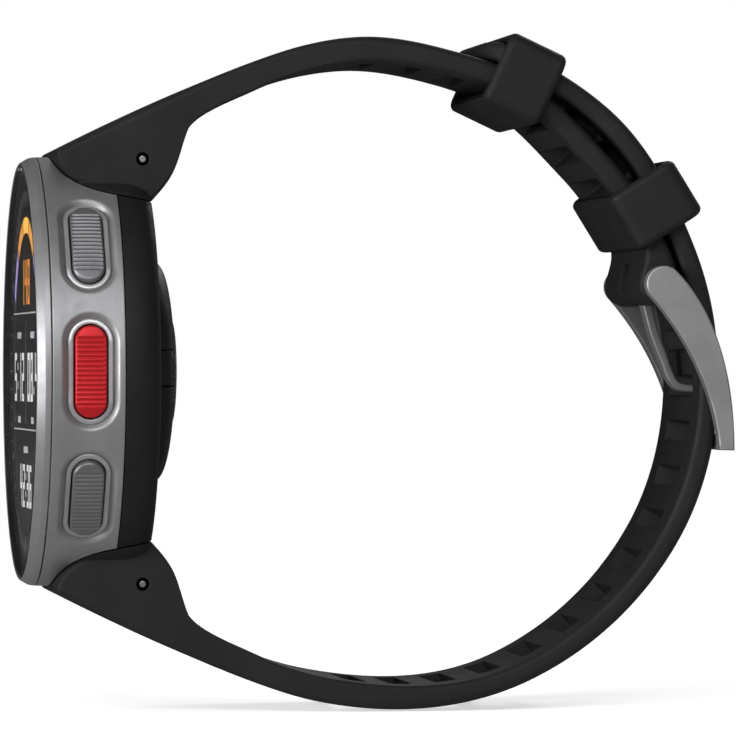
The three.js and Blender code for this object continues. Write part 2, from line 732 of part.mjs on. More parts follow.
// ---- Inside ----
const disc = (radius, y0, y1, segments = INNER_SEGMENTS) =>
  turned(
    [
      [0, y0],
      [radius, y0],
      [radius, y1],
      [0, y1],
    ],
    segments,
  );
const ring = (inner, outer, y0, y1, segments = INNER_SEGMENTS) =>
  turned(
    [
      [inner, y0],
      [outer, y0],
      [outer, y1],
      [inner, y1],
    ],
    segments,
  );

function addFront() {
  const glassBack = GLASS_FACE_Y + GLASS_T;
  add("lens_glass", disc(GLASS_R, GLASS_FACE_Y, glassBack, SEGMENTS), darkGlass());
  const gasketR = GLASS_R + GLASS_GAP;
  const gasketY = GLASS_FACE_Y + 0.2;
  const gasket = ring(GLASS_R + THIN_FIT, gasketR - THIN_FIT, gasketY, glassBack, SEGMENTS);
  add("lens_gasket", gasket, blackRubber());
  add("bezel_ring", bezelRing(), titanium());
  const back = DIAL_SEAT_Y - SEAM / 2;
  const front = back - DISPLAY_T;
  add("dial_ring", ring(DISPLAY_R + SEAM, DIAL_SEAT_R - FIT, front, back), blackPolymer());
  add("display_panel", disc(DISPLAY_R, front, back), darkGlass());
}

function addInside() {
  const frameY = DIAL_SEAT_Y + SEAM;
  const boardY = frameY + 0.2;
  add("inner_frame", ring(FRAME_BORE_R, FRAME_R, frameY, MID_REAR_Y), blackPolymer());
  add("circuit_board", disc(FRAME_BORE_R - 0.3, boardY, boardY + BOARD_T), boardGreen());
  const antenna = ring(FRAME_BORE_R + 0.2, FRAME_R - 0.2, MID_REAR_Y + 0.2, MID_REAR_Y + 1);
  add("gps_antenna", antenna, gold());
  const cellY = boardY + BOARD_T + 0.4;
  const cellX = FRAME_BORE_R * 0.55;
  const cellHigh = FRAME_BORE_R * 0.39;
  const cell = box([-cellX, cellY, -FRAME_BORE_R * 0.745], [cellX, cellY + BATTERY_T, cellHigh]);
  add("battery", cell, foil());
  const motorR = FRAME_BORE_R * 0.26;
  const motorZ = cellHigh + motorR + 0.6;
  add("vibration_motor", rodY(motorR, cellY, cellY + MOTOR_T, 0, motorZ, 24), steel());
  const sensorBoardY = REAR_Y + 0.3;
  const sensorBoardR = SENSOR_R - 4.3;
  add("sensor_board", disc(sensorBoardR, sensorBoardY, sensorBoardY + 0.6), boardGreen());
  add("sensor_window", disc(WINDOW_R, -WINDOW_T, 0, 48), darkGlass());
  const partsY = sensorBoardY + 0.7;
  const half = LAMP_W / 2;
  for (const [name, z] of [
    ["sensor_led_a", 1.8],
    ["sensor_led_b", -1.8],
  ]) {
    add(name, box([-half, partsY, z - half], [half, partsY + 0.7, z + half]), lamp());
  }
  const { x: sizeX, z: sizeZ, t, place } = PHOTODIODE;
  for (const [name, x] of [
    ["photodiode_a", place],
    ["photodiode_b", -place],
  ]) {
    const low = [x - sizeX / 2, partsY, -sizeZ / 2];
    add(name, box(low, [x + sizeX / 2, partsY + t, sizeZ / 2]), darkGlass());
  }
}

// ---- Buckle and keepers ----
// Points of the buckle are [distance outside LOOP_R, degrees], so that it follows the loop.
const PIVOT = polar(PIVOT_R, PIVOT_DEG);
const onLoop = ([outside, degrees]) => polar(LOOP_R + outside, degrees);
const ARM_TIP_IN = onLoop([3.2, -13.3]);
const ARM_TIP_OUT = onLoop([4.8, -12.8]);

function armShape() {
  const [y, z] = PIVOT;
  const outerStart = 38;
  const shape = new THREE.Shape();
  shape.absarc(y, z, ARM_END_R, radians(outerStart), radians(216), false);
  shape.bezierCurveTo(...onLoop([-0.5, 5.2]), ...onLoop([2, -5.2]), ...ARM_TIP_IN);
  shape.lineTo(...ARM_TIP_OUT);
  const endY = y + ARM_END_R * Math.cos(radians(outerStart));
  const endZ = z + ARM_END_R * Math.sin(radians(outerStart));
  shape.bezierCurveTo(...onLoop([3.85, -0.8]), ...onLoop([2.5, 9.8]), endY, endZ);
  return shape;
}

function buckleFrame() {
  const arm = slab(armShape(), ARM_X, ARM_X + ARM_T, 8);
  const barShape = new THREE.Shape();
  barShape.moveTo(...ARM_TIP_IN);
  trace(barShape, [ARM_TIP_OUT, onLoop([4.4, -10.1]), onLoop([3.15, -10.4])]);
  const bar = slab(barShape, -ARM_X - SEAM, ARM_X + SEAM);
  const [notchY, notchZ] = onLoop([3.8, -11.7]);
  const notchX = TANG_W / 2 + NOTCH_GAP;
  const notch = box([-notchX, notchY, notchZ - 3], [notchX, notchY + 3, notchZ + 3]);
  const frame = arm.add(arm.mirror([1, 0, 0])).add(bar.subtract(notch));
  return frame.subtract(rodX(PIN_R + THIN_FIT, -STRAP_W, STRAP_W, ...PIVOT));
}

// The tang runs from its eye on the pin, through a slot of the lower half, to its rest on the buckle's bar.
const TANG_LINE = [
  [-2.57, 15.3],
  [-2.36, 7.8],
  [-1.52, 2.3],
  [-0.64, -1.6],
  [0.39, -2.9],
  [2.2, -3.1],
  [3.32, -3.4],
  [3.84, -4.9],
  [4.09, -7.7],
  [4.46, -12.2],
];

function tang() {
  const line = TANG_LINE.map((point) => new THREE.Vector3(0, ...onLoop(point)));
  const curve = new THREE.CatmullRomCurve3(line);
  const steps = 24;
  const left = [];
  const right = [];
  for (let i = 0; i <= steps; i += 1) {
    const at = curve.getPoint(i / steps);
    const along = curve.getTangent(i / steps);
    const half = (TANG_T + ((TANG_TIP_T - TANG_T) * i) / steps) / 2;
    left.push(new THREE.Vector2(at.y - along.z * half, at.z + along.y * half));
    right.unshift(new THREE.Vector2(at.y + along.z * half, at.z - along.y * half));
  }
  const strip = slab(new THREE.Shape([...left, ...right]), -TANG_W / 2, TANG_W / 2);
  const eye = rodX(PIN_R + TANG_EYE_WALL, -TANG_W / 2, TANG_W / 2, ...PIVOT);
  return eye.add(strip).subtract(rodX(PIN_R + THIN_FIT, -TANG_W, TANG_W, ...PIVOT));
}

function bucklePin() {
  const reach = ARM_X + ARM_T;
  return rodX(PIN_R, -reach, reach, ...PIVOT);
}

function keeper(degrees, { back, forward }) {
  const innerR = upperFlat(degrees - back) - KEEPER_GAP;
  const outerR = lowerFlat(degrees + forward) + KEEPER_GAP;
  const halfW = STRAP_W / 2 + KEEPER_SIDE_FIT;
  const depth = outerR - innerR + 2 * KEEPER_WALL;
  const width = 2 * (halfW + KEEPER_SIDE);
  const band = strapBlock(degrees, (innerR + outerR) / 2, KEEPER_L, width, depth);
  const cavity = new THREE.Shape();
  const span = 16;
  cavity.moveTo(...polar(outerR, degrees - span));
  trace(
    cavity,
    arc(() => innerR, degrees - span, degrees + span),
  );
  trace(
    cavity,
    arc(() => outerR, degrees + span, degrees - span),
  );
  return band.subtract(slab(cavity, -halfW, halfW));
}

// ---- The watch ----
addFront();
add("mid_case", midCase(), titanium());
add("main_gasket", mainGasket(), blackRubber());
add("rear_case", rearCase(), blackPolymer());
screwPlaces.forEach(([x, z], i) => add(`back_screw_${i + 1}`, backScrew(x, z), steel()));
add("sensor_cover", sensorCover(), blackPolymer());
add("charge_port", chargePort(), blackPolymer());
contactPlaces.forEach((z, i) => add(`charge_contact_${i + 1}`, chargeContact(z), gold()));
addInside();
addButtons();
add("strap_upper", upperStrap(), blackRubber());
add("strap_lower", lowerStrap(), blackRubber());
add("strap_pin_upper", strapPin(1), steel());
add("strap_pin_lower", strapPin(-1), steel());
add("buckle_frame", buckleFrame(), titanium());
add("buckle_tang", tang(), titanium());
add("buckle_pin", bucklePin(), steel());
add("keeper_buckle", keeper(KEEPER_BUCKLE_DEG, KEEPER_CLEARS.keeper_buckle), blackRubber());
add("keeper_tail", keeper(KEEPER_TAIL_DEG, KEEPER_CLEARS.keeper_tail), blackRubber());

export default group;
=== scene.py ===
import math

import bmesh
import bpy
import numpy as np
from mathutils import Matrix, Vector


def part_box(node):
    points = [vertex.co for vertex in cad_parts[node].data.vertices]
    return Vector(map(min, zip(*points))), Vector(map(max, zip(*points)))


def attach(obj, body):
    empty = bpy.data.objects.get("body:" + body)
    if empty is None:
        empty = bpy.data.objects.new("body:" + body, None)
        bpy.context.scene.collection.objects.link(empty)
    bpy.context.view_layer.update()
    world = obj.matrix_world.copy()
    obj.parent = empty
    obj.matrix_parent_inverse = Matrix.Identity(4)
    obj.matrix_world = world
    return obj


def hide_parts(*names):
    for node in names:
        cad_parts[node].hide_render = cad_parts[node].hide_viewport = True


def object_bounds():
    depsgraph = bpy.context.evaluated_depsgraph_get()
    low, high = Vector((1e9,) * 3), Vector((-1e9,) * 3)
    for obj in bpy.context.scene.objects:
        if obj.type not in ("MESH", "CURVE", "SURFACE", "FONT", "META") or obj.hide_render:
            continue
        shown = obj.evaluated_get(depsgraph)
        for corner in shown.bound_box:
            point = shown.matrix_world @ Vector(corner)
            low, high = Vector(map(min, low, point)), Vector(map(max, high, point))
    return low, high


# Looks of the GPS running watch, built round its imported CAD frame.
# Shapes are drawn in millimetres, in the row frame: +X is the three-button side, -Y is out of the dial
# and +Z is the upper strap half.
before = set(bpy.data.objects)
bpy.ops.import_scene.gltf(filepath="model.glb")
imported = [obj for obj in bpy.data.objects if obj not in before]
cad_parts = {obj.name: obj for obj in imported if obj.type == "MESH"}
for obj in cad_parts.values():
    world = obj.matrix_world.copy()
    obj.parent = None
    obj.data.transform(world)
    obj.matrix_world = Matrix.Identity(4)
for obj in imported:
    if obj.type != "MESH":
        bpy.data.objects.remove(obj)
cad_low, cad_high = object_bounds()
MM = 0.001

# ---- Sizes of the CAD part, in millimetres ----


def node_box(node):
    low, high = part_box(node)
    return low / MM, high / MM


CASE_R = node_box("mid_case")[1].x
CASE_FRONT_Y = node_box("mid_case")[0].y
CASE_BACK_Y = node_box("mid_case")[1].y
GLASS_R = node_box("lens_glass")[1].x
GLASS_FACE_Y = node_box("lens_glass")[0].y
GLASS_BACK_Y = node_box("lens_glass")[1].y
DISPLAY_Y = node_box("display_panel")[0].y
DIAL_RING_R = node_box("dial_ring")[1].x
GASKET_FIT = 0.08
BEZEL_BORE_R = node_box("lens_gasket")[1].x + GASKET_FIT
BEZEL_SEAM = 0.07
BEZEL_BACK_Y = node_box("bezel_ring")[1].y + BEZEL_SEAM
SENSOR_R = node_box("sensor_cover")[1].x
WINDOW_R = node_box("sensor_window")[1].x
WINDOW_T = -node_box("sensor_window")[0].y
STRAP_END_W = 22.8
STRAP_W = 21.5
CASE_WALL = 5.8
CASE_BORE_R = CASE_R - CASE_WALL
DIAL_SEAT_Y = -13.7
GASKET_SEAT_R = CASE_BORE_R + 1.1
MID_REAR_Y = -7.1
GASKET_SEAT_Y = MID_REAR_Y - 0.65
REAR_Y = -3.3
REAR_R = CASE_R - 2.4
REAR_FLOOR_T = 1.3
FIT = 0.15
DIAL_SEAT_R = DIAL_RING_R + FIT
EAR_W = 11
EAR_FIT = 0.25
LUG_PIN_Y = -4.25
LUG_PIN_Z = CASE_R - 0.5
LUG_PIN_HOLE_R = 0.7

BUTTON_Y = -10.8
BUTTON_DEG = {"up": 36.5, "ok": 0, "down": -36.5, "light": 143.5, "back": 216.5}
CAP_W = 3.3
CAP_L = 9.6
CAP_BACK_X = CASE_R + 0.1 - 1.7
RING_W = 4.7
RING_L = 11
RING_WALL = 0.55
RING_TOP_R = CASE_R - 0.4
RING_FLOOR_X = CAP_BACK_X - 1.15

LOOP_R = 33.35
LOOP_Y = 22
UPPER_START = -0.3
UPPER_T = 2.8
UPPER_TUCKED_T = 2.4
UPPER_LIFT = 1.6
LOWER_START = 2.55
LOWER_T = 2.75
LOWER_TUCKED_T = 2.2
LAYER_GAP = 0.25
LOWER_TIP_DEG = 74.2
TAIL_NOSE = 4.5
TAIL_CORNER_R = 7
SLOT_L = 2.4
SLOT_W = STRAP_W * 0.67
PIVOT_IN = 2.35
PIVOT_R = LOOP_R - PIVOT_IN
PIVOT_DEG = 17.6
KNUCKLE_R = 2.3
KNUCKLE_DEG = 8.4
PIN_R = 0.75
ARM_X = STRAP_W / 2 + 0.45
ARM_T = 1.9
ARM_END_R = 1.95
TANG_W = 2.4
KEEPER_WALL = 0.9
KEEPER_SIDE = 1.6
KEEPER_SIDE_FIT = 0.28
KEEPER_L = 6.7
KEEPER_GAP = 0.2
KEEPER_ROUND = 0.75
KEEPER_CORNERS = [1.3, 1.7, 1.7, 1.3]
KEEPER_BORE_CORNER = 0.7


# ---- Curves ----
def ease(t):
    """0 before 0, 1 after 1 and a smooth rise between them."""
    u = min(max(t, 0), 1)
    return u * u * (3 - 2 * u)


def polar(radius, degrees):
    """A (y, z) point of the strap's loop."""
    a = math.radians(degrees)
    return (LOOP_Y + radius * math.cos(a), radius * math.sin(a))


def upper_flat(d):
    """Radius of the upper strap half's inner face, d degrees round the loop."""
    start = UPPER_START + UPPER_TUCKED_T
    lift = UPPER_LIFT * ease((d - 44) / 28)
    return LOOP_R - UPPER_TUCKED_T + lift + (start - UPPER_LIFT) * ease((d - 75) / 20)


def upper_outer(d):
    return upper_flat(d) + UPPER_TUCKED_T + (UPPER_T - UPPER_TUCKED_T) * ease((d - 75) / 25)


def lower_flat(d):
    rise = 0.6 * ease((d + 100) / 35) - 0.5 * ease((d + 30) / 35)
    return LOOP_R + LOWER_START + rise + 1.05 * ease((d - 22) / 28) + 0.45 * ease((d - 60) / 12)


def lower_inner(d):
    thickness = LOWER_T - (LOWER_T - LOWER_TUCKED_T) * ease((d + 100) / 35)
    over = upper_outer(d) + LAYER_GAP if d > 40 else 0
    return max(lower_flat(d) - thickness, over)


def lower_outer(d):
    along = max((d - LOWER_TIP_DEG + TAIL_NOSE) / TAIL_NOSE, 0)
    inner = lower_inner(d)
    return inner + (lower_flat(d) - inner) * math.sqrt(max(1 - along * along, 0.01))


def knuckle(d):
    """Half thickness of the round strap end about the buckle pin, or 0 away from it."""
    off = PIVOT_R * math.radians(d - PIVOT_DEG)
    return math.sqrt(max(KNUCKLE_R**2 - off * off, 0))


def upper_inner_end(d):
    dip = ease((PIVOT_DEG + KNUCKLE_DEG - d) / KNUCKLE_DEG)
    flat = upper_flat(d) + (UPPER_TUCKED_T - PIVOT_IN - KNUCKLE_R) * dip
    return PIVOT_R - knuckle(d) if d < PIVOT_DEG + 0.5 else flat


def upper_outer_end(d):
    return min(upper_outer(d), PIVOT_R + knuckle(d)) if d < PIVOT_DEG + 2 else upper_outer(d)


def bezier(a, b, c, d, steps):
    points = []
    for i in range(steps + 1):
        t = i / steps
        u = 1 - t
        weights = (u**3, 3 * u * u * t, 3 * u * t * t, t**3)
        points.append(tuple(sum(w * p[k] for w, p in zip(weights, (a, b, c, d))) for k in (0, 1)))
    return points


def quadratic(a, b, c, steps):
    first = tuple(a[k] + (b[k] - a[k]) * 2 / 3 for k in (0, 1))
    second = tuple(c[k] + (b[k] - c[k]) * 2 / 3 for k in (0, 1))
    return bezier(a, first, second, c, steps)


def resample(points, count):
    """count points evenly spaced along a polyline."""
    p = np.array(points, float)
    run = np.concatenate([[0], np.cumsum(np.linalg.norm(np.diff(p, axis=0), axis=1))])
    at = np.linspace(0, run[-1], count)
    return np.stack([np.interp(at, run, p[:, k]) for k in range(p.shape[1])], 1)


def softened(points, rounds=3):
    """A polyline with its corners cut, its ends kept."""
    p = [tuple(q) for q in points]
    for _ in range(rounds):
        cut = [p[0]]
        for a, b in zip(p[:-1], p[1:]):
            cut.append(tuple(0.75 * a[k] + 0.25 * b[k] for k in (0, 1)))
            cut.append(tuple(0.25 * a[k] + 0.75 * b[k] for k in (0, 1)))
        cut.append(p[-1])
        p = cut
    return p


def filleted(points, radius, steps=5):
    """A closed outline with each corner rounded by radius, or by radius[i]."""
    n = len(points)
    radii = radius if hasattr(radius, "__len__") else [radius] * n
    out = []
    for i in range(n):
        p = Vector(points[i])
        a = Vector(points[i - 1]) - p
        b = Vector(points[(i + 1) % n]) - p
        r = radii[i]
        if r <= 0:
            out.append(tuple(p))
            continue
        half = a.angle(b) / 2
        reach = min(r / math.tan(half), a.length * 0.49, b.length * 0.49)
        a, b = p + a.normalized() * reach, p + b.normalized() * reach
        for k in range(steps + 1):
            t = k / steps
            out.append(tuple((1 - t) ** 2 * a + 2 * (1 - t) * t * p + t * t * b))
    return out


def stadium(width, length, steps=24):
    """Outline about 0, 0 as (y, z), long along z."""
    half = (length - width) / 2
    points = []
    for centre, start in ((half, 0), (-half, math.pi)):
        for i in range(steps + 1):
            a = start + math.pi * i / steps
            points.append((math.cos(a) * width / 2, centre + math.sin(a) * width / 2))
    return points


# ---- Meshes ----
def mesh_object(name, verts, faces, smooth=30):
    mesh = bpy.data.meshes.new(name)
    mesh.from_pydata([tuple(float(c) * MM for c in v) for v in verts], [], faces)
    obj = bpy.data.objects.new(name, mesh)
    bpy.context.scene.collection.objects.link(obj)
    tidy(obj, smooth)
    return obj


def tidy(obj, smooth=30):
    bm = bmesh.new()
    bm.from_mesh(obj.data)
    bmesh.ops.remove_doubles(bm, verts=bm.verts, dist=1e-6)
    bmesh.ops.recalc_face_normals(bm, faces=bm.faces)
    bm.to_mesh(obj.data)
    bm.free()
    shade(obj, smooth)


def shade(obj, smooth=30):
    for polygon in obj.data.polygons:
        polygon.use_smooth = True
    obj.data.set_sharp_from_angle(angle=math.radians(smooth))


def lofted(name, loops, closed_ends=True, smooth=30, ring=False):
    """Skin through loops of the same number of points; ring joins the last loop to the first."""
    n = len(loops[0])
    verts = [p for loop in loops for p in loop]
    faces = []
    last = len(loops) if ring else len(loops) - 1
    for i in range(last):
        a, b = i * n, ((i + 1) % len(loops)) * n
        for k in range(n):
            m = (k + 1) % n
            faces.append((a + k, a + m, b + m, b + k))
    if closed_ends and not ring:
        faces.append(tuple(range(n)))
        faces.append(tuple(range((len(loops) - 1) * n, len(loops) * n)))
    return mesh_object(name, verts, faces, smooth)


def turned(name, profile, segments=192, smooth=30, radius_at=None):
    """A body of revolution about the case's axis from a closed (radius, y) profile."""
    loops = []
    for i in range(segments):
        a = 2 * math.pi * i / segments
        loop = []
        for r, y in profile:
            if radius_at is not None:
                r = radius_at(a, r, y)
            loop.append((r * math.cos(a), y, r * math.sin(a)))
        loops.append(loop)
    return lofted(name, loops, ring=True, smooth=smooth)


def prism(name, outline, x0, x1, bevel=0.0, segments=3, smooth=30):
    """A (y, z) outline extruded along X, the edges of its two ends rounded by bevel."""
    bm = bmesh.new()
    ends = []
    for x in (x0, x1):
        ends.append([bm.verts.new((x * MM, y * MM, z * MM)) for y, z in outline])
    n = len(outline)
    bm.faces.new(ends[0])
    bm.faces.new(ends[1])
    for k in range(n):
        m = (k + 1) % n
        bm.faces.new((ends[0][k], ends[0][m], ends[1][m], ends[1][k]))
    bmesh.ops.recalc_face_normals(bm, faces=bm.faces)
    if bevel > 0:
        chosen = []
        for end in ends:
            chosen += [bm.edges.get((end[k], end[(k + 1) % n])) for k in range(n)]
        bmesh.ops.bevel(
            bm,
            geom=chosen,
            offset=bevel * MM,
            segments=segments,
            profile=0.5,
            affect="EDGES",
            clamp_overlap=False,
        )
    mesh = bpy.data.meshes.new(name)
    bm.to_mesh(mesh)
    bm.free()
    obj = bpy.data.objects.new(name, mesh)
    bpy.context.scene.collection.objects.link(obj)
    tidy(obj, smooth)
    return obj


def boolean(obj, other, operation="DIFFERENCE", smooth=30):
    """obj with other cut from it, joined to it or kept in common; other is used up."""
    modifier = obj.modifiers.new("boolean", "BOOLEAN")
    modifier.operation = operation
    modifier.solver = "MANIFOLD"
    modifier.object = other
    bpy.context.view_layer.update()
    evaluated = obj.evaluated_get(bpy.context.evaluated_depsgraph_get())
    mesh = bpy.data.meshes.new_from_object(evaluated)
    obj.modifiers.clear()
    obj.data = mesh
    bpy.data.objects.remove(other)
    if not mesh.polygons:
        raise ValueError(f"nothing is left of {obj.name}")
    shade(obj, smooth)
    return obj


def joined(name, *objs):
    """One object from several, their meshes only put together."""
    bm = bmesh.new()
    for o in objs:
        bm.from_mesh(o.data)
        bpy.data.objects.remove(o)
    mesh = bpy.data.meshes.new(name)
    bm.to_mesh(mesh)
    bm.free()
    obj = bpy.data.objects.new(name, mesh)
    bpy.context.scene.collection.objects.link(obj)
    return obj


def turn(obj, degrees):
    """Turns a piece made at +X to its place round the case."""
    obj.data.transform(Matrix.Rotation(-math.radians(degrees), 4, "Y"))
    return obj


def mirror_z(obj):
    obj.data.transform(Matrix.Scale(-1, 4, Vector((0, 0, 1))))
    obj.data.flip_normals()
    return obj


def place(obj, body, slot, material, *nodes):
    """Gives a finished piece its material and its body, and hides the CAD nodes it stands for."""
    obj.data.materials.clear()
    obj.data.materials.append(material)
    weighted = obj.modifiers.new("weighted", "WEIGHTED_NORMAL")
    weighted.mode = "FACE_AREA"
    weighted.keep_sharp = True
    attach(obj, body)
    if nodes:
        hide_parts(*nodes)
    return obj


# ---- Materials ----
class Shader:
    """A principled material whose colour, roughness and bump come from noise in the piece's own space."""

    def __init__(self, name, colour, roughness, metallic=0.0, **sockets):
        self.material = bpy.data.materials.new(name)
        self.material.use_nodes = True
        self.tree = self.material.node_tree
        self.bsdf = self.tree.nodes["Principled BSDF"]
        self.colour = colour
        self.roughness = roughness
        self.bsdf.inputs["Base Color"].default_value = (*colour, 1)
        self.bsdf.inputs["Roughness"].default_value = roughness
        self.bsdf.inputs["Metallic"].default_value = metallic
        for key, value in sockets.items():
            self.bsdf.inputs[key.replace("_", " ")].default_value = value
        self.coords = self.node("ShaderNodeTexCoord").outputs["Object"]
        self.normal = None

    def node(self, kind, **settings):
        """A new node; each setting is one of its properties or the value of one of its sockets."""
        made = self.tree.nodes.new(kind)
        for key, value in settings.items():
            if hasattr(made, key):
                setattr(made, key, value)
            else:
                made.inputs[key.replace("_", " ")].default_value = value
        return made

    def link(self, a, b):
        self.tree.links.new(a, b)

    def noise(self, size, stretch=(1, 1, 1), detail=3.0, roughness=0.55):
        """Noise whose grains are size millimetres, longer along an axis by stretch."""
        mapping = self.node("ShaderNodeMapping")
        mapping.inputs["Scale"].default_value = [1 / (size * MM * s) for s in stretch]
        self.link(self.coords, mapping.inputs["Vector"])
        noise = self.node("ShaderNodeTexNoise", Scale=1.0, Detail=detail, Roughness=roughness)
        self.link(mapping.outputs["Vector"], noise.inputs["Vector"])
        return noise.outputs["Fac"]

    def ramp(self, value, low, high, at=(0.3, 0.7)):
        made = self.node("ShaderNodeMapRange", clamp=True)
        made.inputs["From Min"].default_value = at[0]
        made.inputs["From Max"].default_value = at[1]
        made.inputs["To Min"].default_value = low
        made.inputs["To Max"].default_value = high
        self.link(value, made.inputs["Value"])
        return made.outputs["Result"]

    def mottle(self, size, amount, stretch=(1, 1, 1)):
        """Lets the colour wander by amount, up and down."""
        made = self.node("ShaderNodeMix", data_type="RGBA")
        low = [c * (1 - amount) for c in self.colour]
        high = [min(c * (1 + amount), 1) for c in self.colour]
        ends = {"A_Color": low, "B_Color": high}
        for socket in made.inputs:
            if socket.identifier in ends:
                socket.default_value = (*ends[socket.identifier], 1)
        self.link(self.ramp(self.noise(size, stretch), 0, 1), made.inputs[0])
        mixed = next(socket for socket in made.outputs if socket.identifier == "Result_Color")
        self.link(mixed, self.bsdf.inputs["Base Color"])
        return self

    def sheen_spots(self, size, amount, stretch=(1, 1, 1)):
        """Lets the roughness wander by amount."""
        low = max(self.roughness - amount, 0.02)
        value = self.ramp(self.noise(size, stretch), low, self.roughness + amount)
        self.link(value, self.bsdf.inputs["Roughness"])
        return self

    def bump(self, value, depth, strength=1.0):
        made = self.node("ShaderNodeBump", Strength=strength, Distance=depth * MM)
        self.link(value, made.inputs["Height"])
        if self.normal is not None:
            self.link(self.normal, made.inputs["Normal"])
        self.normal = made.outputs["Normal"]
        self.link(self.normal, self.bsdf.inputs["Normal"])
        return self

    def grain(self, size, depth, stretch=(1, 1, 1), detail=2.0):
        return self.bump(self.noise(size, stretch, detail), depth)

    def rounded(self, radius):
        """Softens sharp edges in the shading, over radius millimetres."""
        made = self.node("ShaderNodeBevel", samples=6)
        made.inputs["Radius"].default_value = radius * MM
        self.normal = made.outputs["Normal"]
        self.link(self.normal, self.bsdf.inputs["Normal"])
        return self


def metal(name, colour, roughness, stretch=(1, 1, 1), metallic=1.0):
    """A satin metal, brushed along the axis that stretch lengthens."""
    shader = Shader(name, colour, roughness, metallic).rounded(0.06)
    shader.mottle(3.0, 0.06)
    shader.sheen_spots(1.2, 0.05, stretch)
    return shader.grain(0.09, 0.003, stretch)


case_metal = metal("case_titanium", (0.27, 0.27, 0.278), 0.48, metallic=0.72).material
bezel_metal = metal("bezel_titanium", (0.27, 0.27, 0.278), 0.46, metallic=0.72).material
cap_metal = metal("button_titanium", (0.2, 0.2, 0.208), 0.46, metallic=0.8).material
ring_metal = metal("ring_bright", (0.52, 0.52, 0.53), 0.44, metallic=0.85).material
buckle_metal = metal("buckle_grey", (0.31, 0.31, 0.315), 0.5, (1, 1, 6), 0.8).material
red_metal = metal("button_red", (0.42, 0.006, 0.01), 0.42, metallic=0.5).material
steel = metal("plain_steel", (0.55, 0.55, 0.56), 0.28).material
spring_steel = metal("spring_steel", (0.5, 0.5, 0.51), 0.24, (1, 1, 3)).material
gold = metal("gold_plate", (0.85, 0.6, 0.25), 0.22).material
foil = metal("cell_foil", (0.5, 0.5, 0.52), 0.4, (3, 1, 1)).material

rubber = Shader("strap_silicone", (0.011, 0.011, 0.0114), 0.62, Specular_IOR_Level=0.2)
rubber.rounded(0.18).mottle(6.0, 0.12).sheen_spots(2.5, 0.06)
rubber = rubber.grain(0.16, 0.005).material
keeper_rubber = Shader("keeper_silicone", (0.01, 0.01, 0.0104), 0.6, Specular_IOR_Level=0.2)
keeper_rubber.rounded(0.18).mottle(5.0, 0.12).sheen_spots(2.0, 0.06)
keeper_rubber = keeper_rubber.grain(0.16, 0.005).material
polymer = Shader("case_polymer", (0.008, 0.008, 0.0084), 0.55, Specular_IOR_Level=0.2)
polymer = polymer.rounded(0.1).mottle(4.0, 0.1).sheen_spots(1.5, 0.07).grain(0.12, 0.005).material
seal = Shader("seal_rubber", (0.012, 0.012, 0.012), 0.6)
seal = seal.mottle(1.0, 0.15).grain(0.08, 0.008).material
board = Shader("board_green", (0.015, 0.09, 0.035), 0.4)
board = board.mottle(1.5, 0.3).grain(0.4, 0.02).material
lamp = Shader("lamp_green", (0.35, 0.8, 0.4), 0.2, Emission_Color=(0.1, 0.9, 0.25, 1))
lamp.bsdf.inputs["Emission Strength"].default_value = 0.25
lamp = lamp.mottle(0.4, 0.2).material
die = Shader("sensor_die", (0.02, 0.02, 0.03), 0.15, Coat_Weight=0.6)
die = die.mottle(0.5, 0.3).grain(0.3, 0.004).material
dial_black = Shader("dial_black", (0.012, 0.012, 0.013), 0.5, Specular_IOR_Level=0.2)
dial_black = dial_black.mottle(2.0, 0.2).grain(0.1, 0.003).material


def glass(name, tint, transmission, roughness, ior):
    shader = Shader(name, tint, roughness, Transmission_Weight=transmission, IOR=ior)
    shader.bsdf.inputs["Specular IOR Level"].default_value = 0.1
    return shader.mottle(8.0, 0.01).sheen_spots(6.0, 0.01).material


lens = glass("cover_glass", (0.95, 0.95, 0.96), 1.0, 0.02, 1.015)
window = glass("sensor_glass", (0.22, 0.22, 0.24), 0.75, 0.05, 1.45)


def lit(name, colour, strength):
    """A mark of the display that gives light of its own."""
    shader = Shader(name, colour, 0.4, Emission_Color=(*colour, 1))
    shader.bsdf.inputs["Emission Strength"].default_value = strength
    return shader.mottle(0.2, 0.1).material


lit_white = lit("lit_white", (0.7, 0.7, 0.7), 0.5)
lit_grey = lit("lit_grey", (0.4, 0.4, 0.42), 0.6)
lit_orange = lit("lit_orange", (0.7, 0.3, 0.05), 0.5)
lit_yellow = lit("lit_yellow", (0.85, 0.46, 0.08), 0.65)
lit_violet = lit("lit_violet", (0.3, 0.24, 0.5), 0.8)

# ---- Case ----
POCKET_DEPTH = 0.8
POCKET_MARGIN = 0.75
POCKET_LIP = 0.95
WELL_DEPTH = 2.9


def stadium_distance(y, z, width, length):
    """How far a point is inside a stadium outline; negative outside."""
    half = (length - width) / 2
    off = max(abs(z) - half, 0)
    return width / 2 - math.hypot(y, off)


def pocket_depth(angle, y):
    """How deep the case's side is dished at this place for the nearest button."""
    deepest = 0.0
    for degrees in BUTTON_DEG.values():
        turn_by = (angle - math.radians(degrees) + math.pi) % (2 * math.pi) - math.pi
        if abs(turn_by) > 0.4:
            continue
        across = CASE_R * math.sin(turn_by)
        wide = RING_W + 2 * POCKET_MARGIN
        inside = stadium_distance(y - BUTTON_Y, across, wide, RING_L + 2 * POCKET_MARGIN)
        depth = POCKET_DEPTH * ease(inside / POCKET_LIP)
        if stadium_distance(y - BUTTON_Y, across, RING_W - RING_WALL, RING_L - RING_WALL) > 0:
            depth = WELL_DEPTH
        deepest = max(deepest, depth)
    return deepest


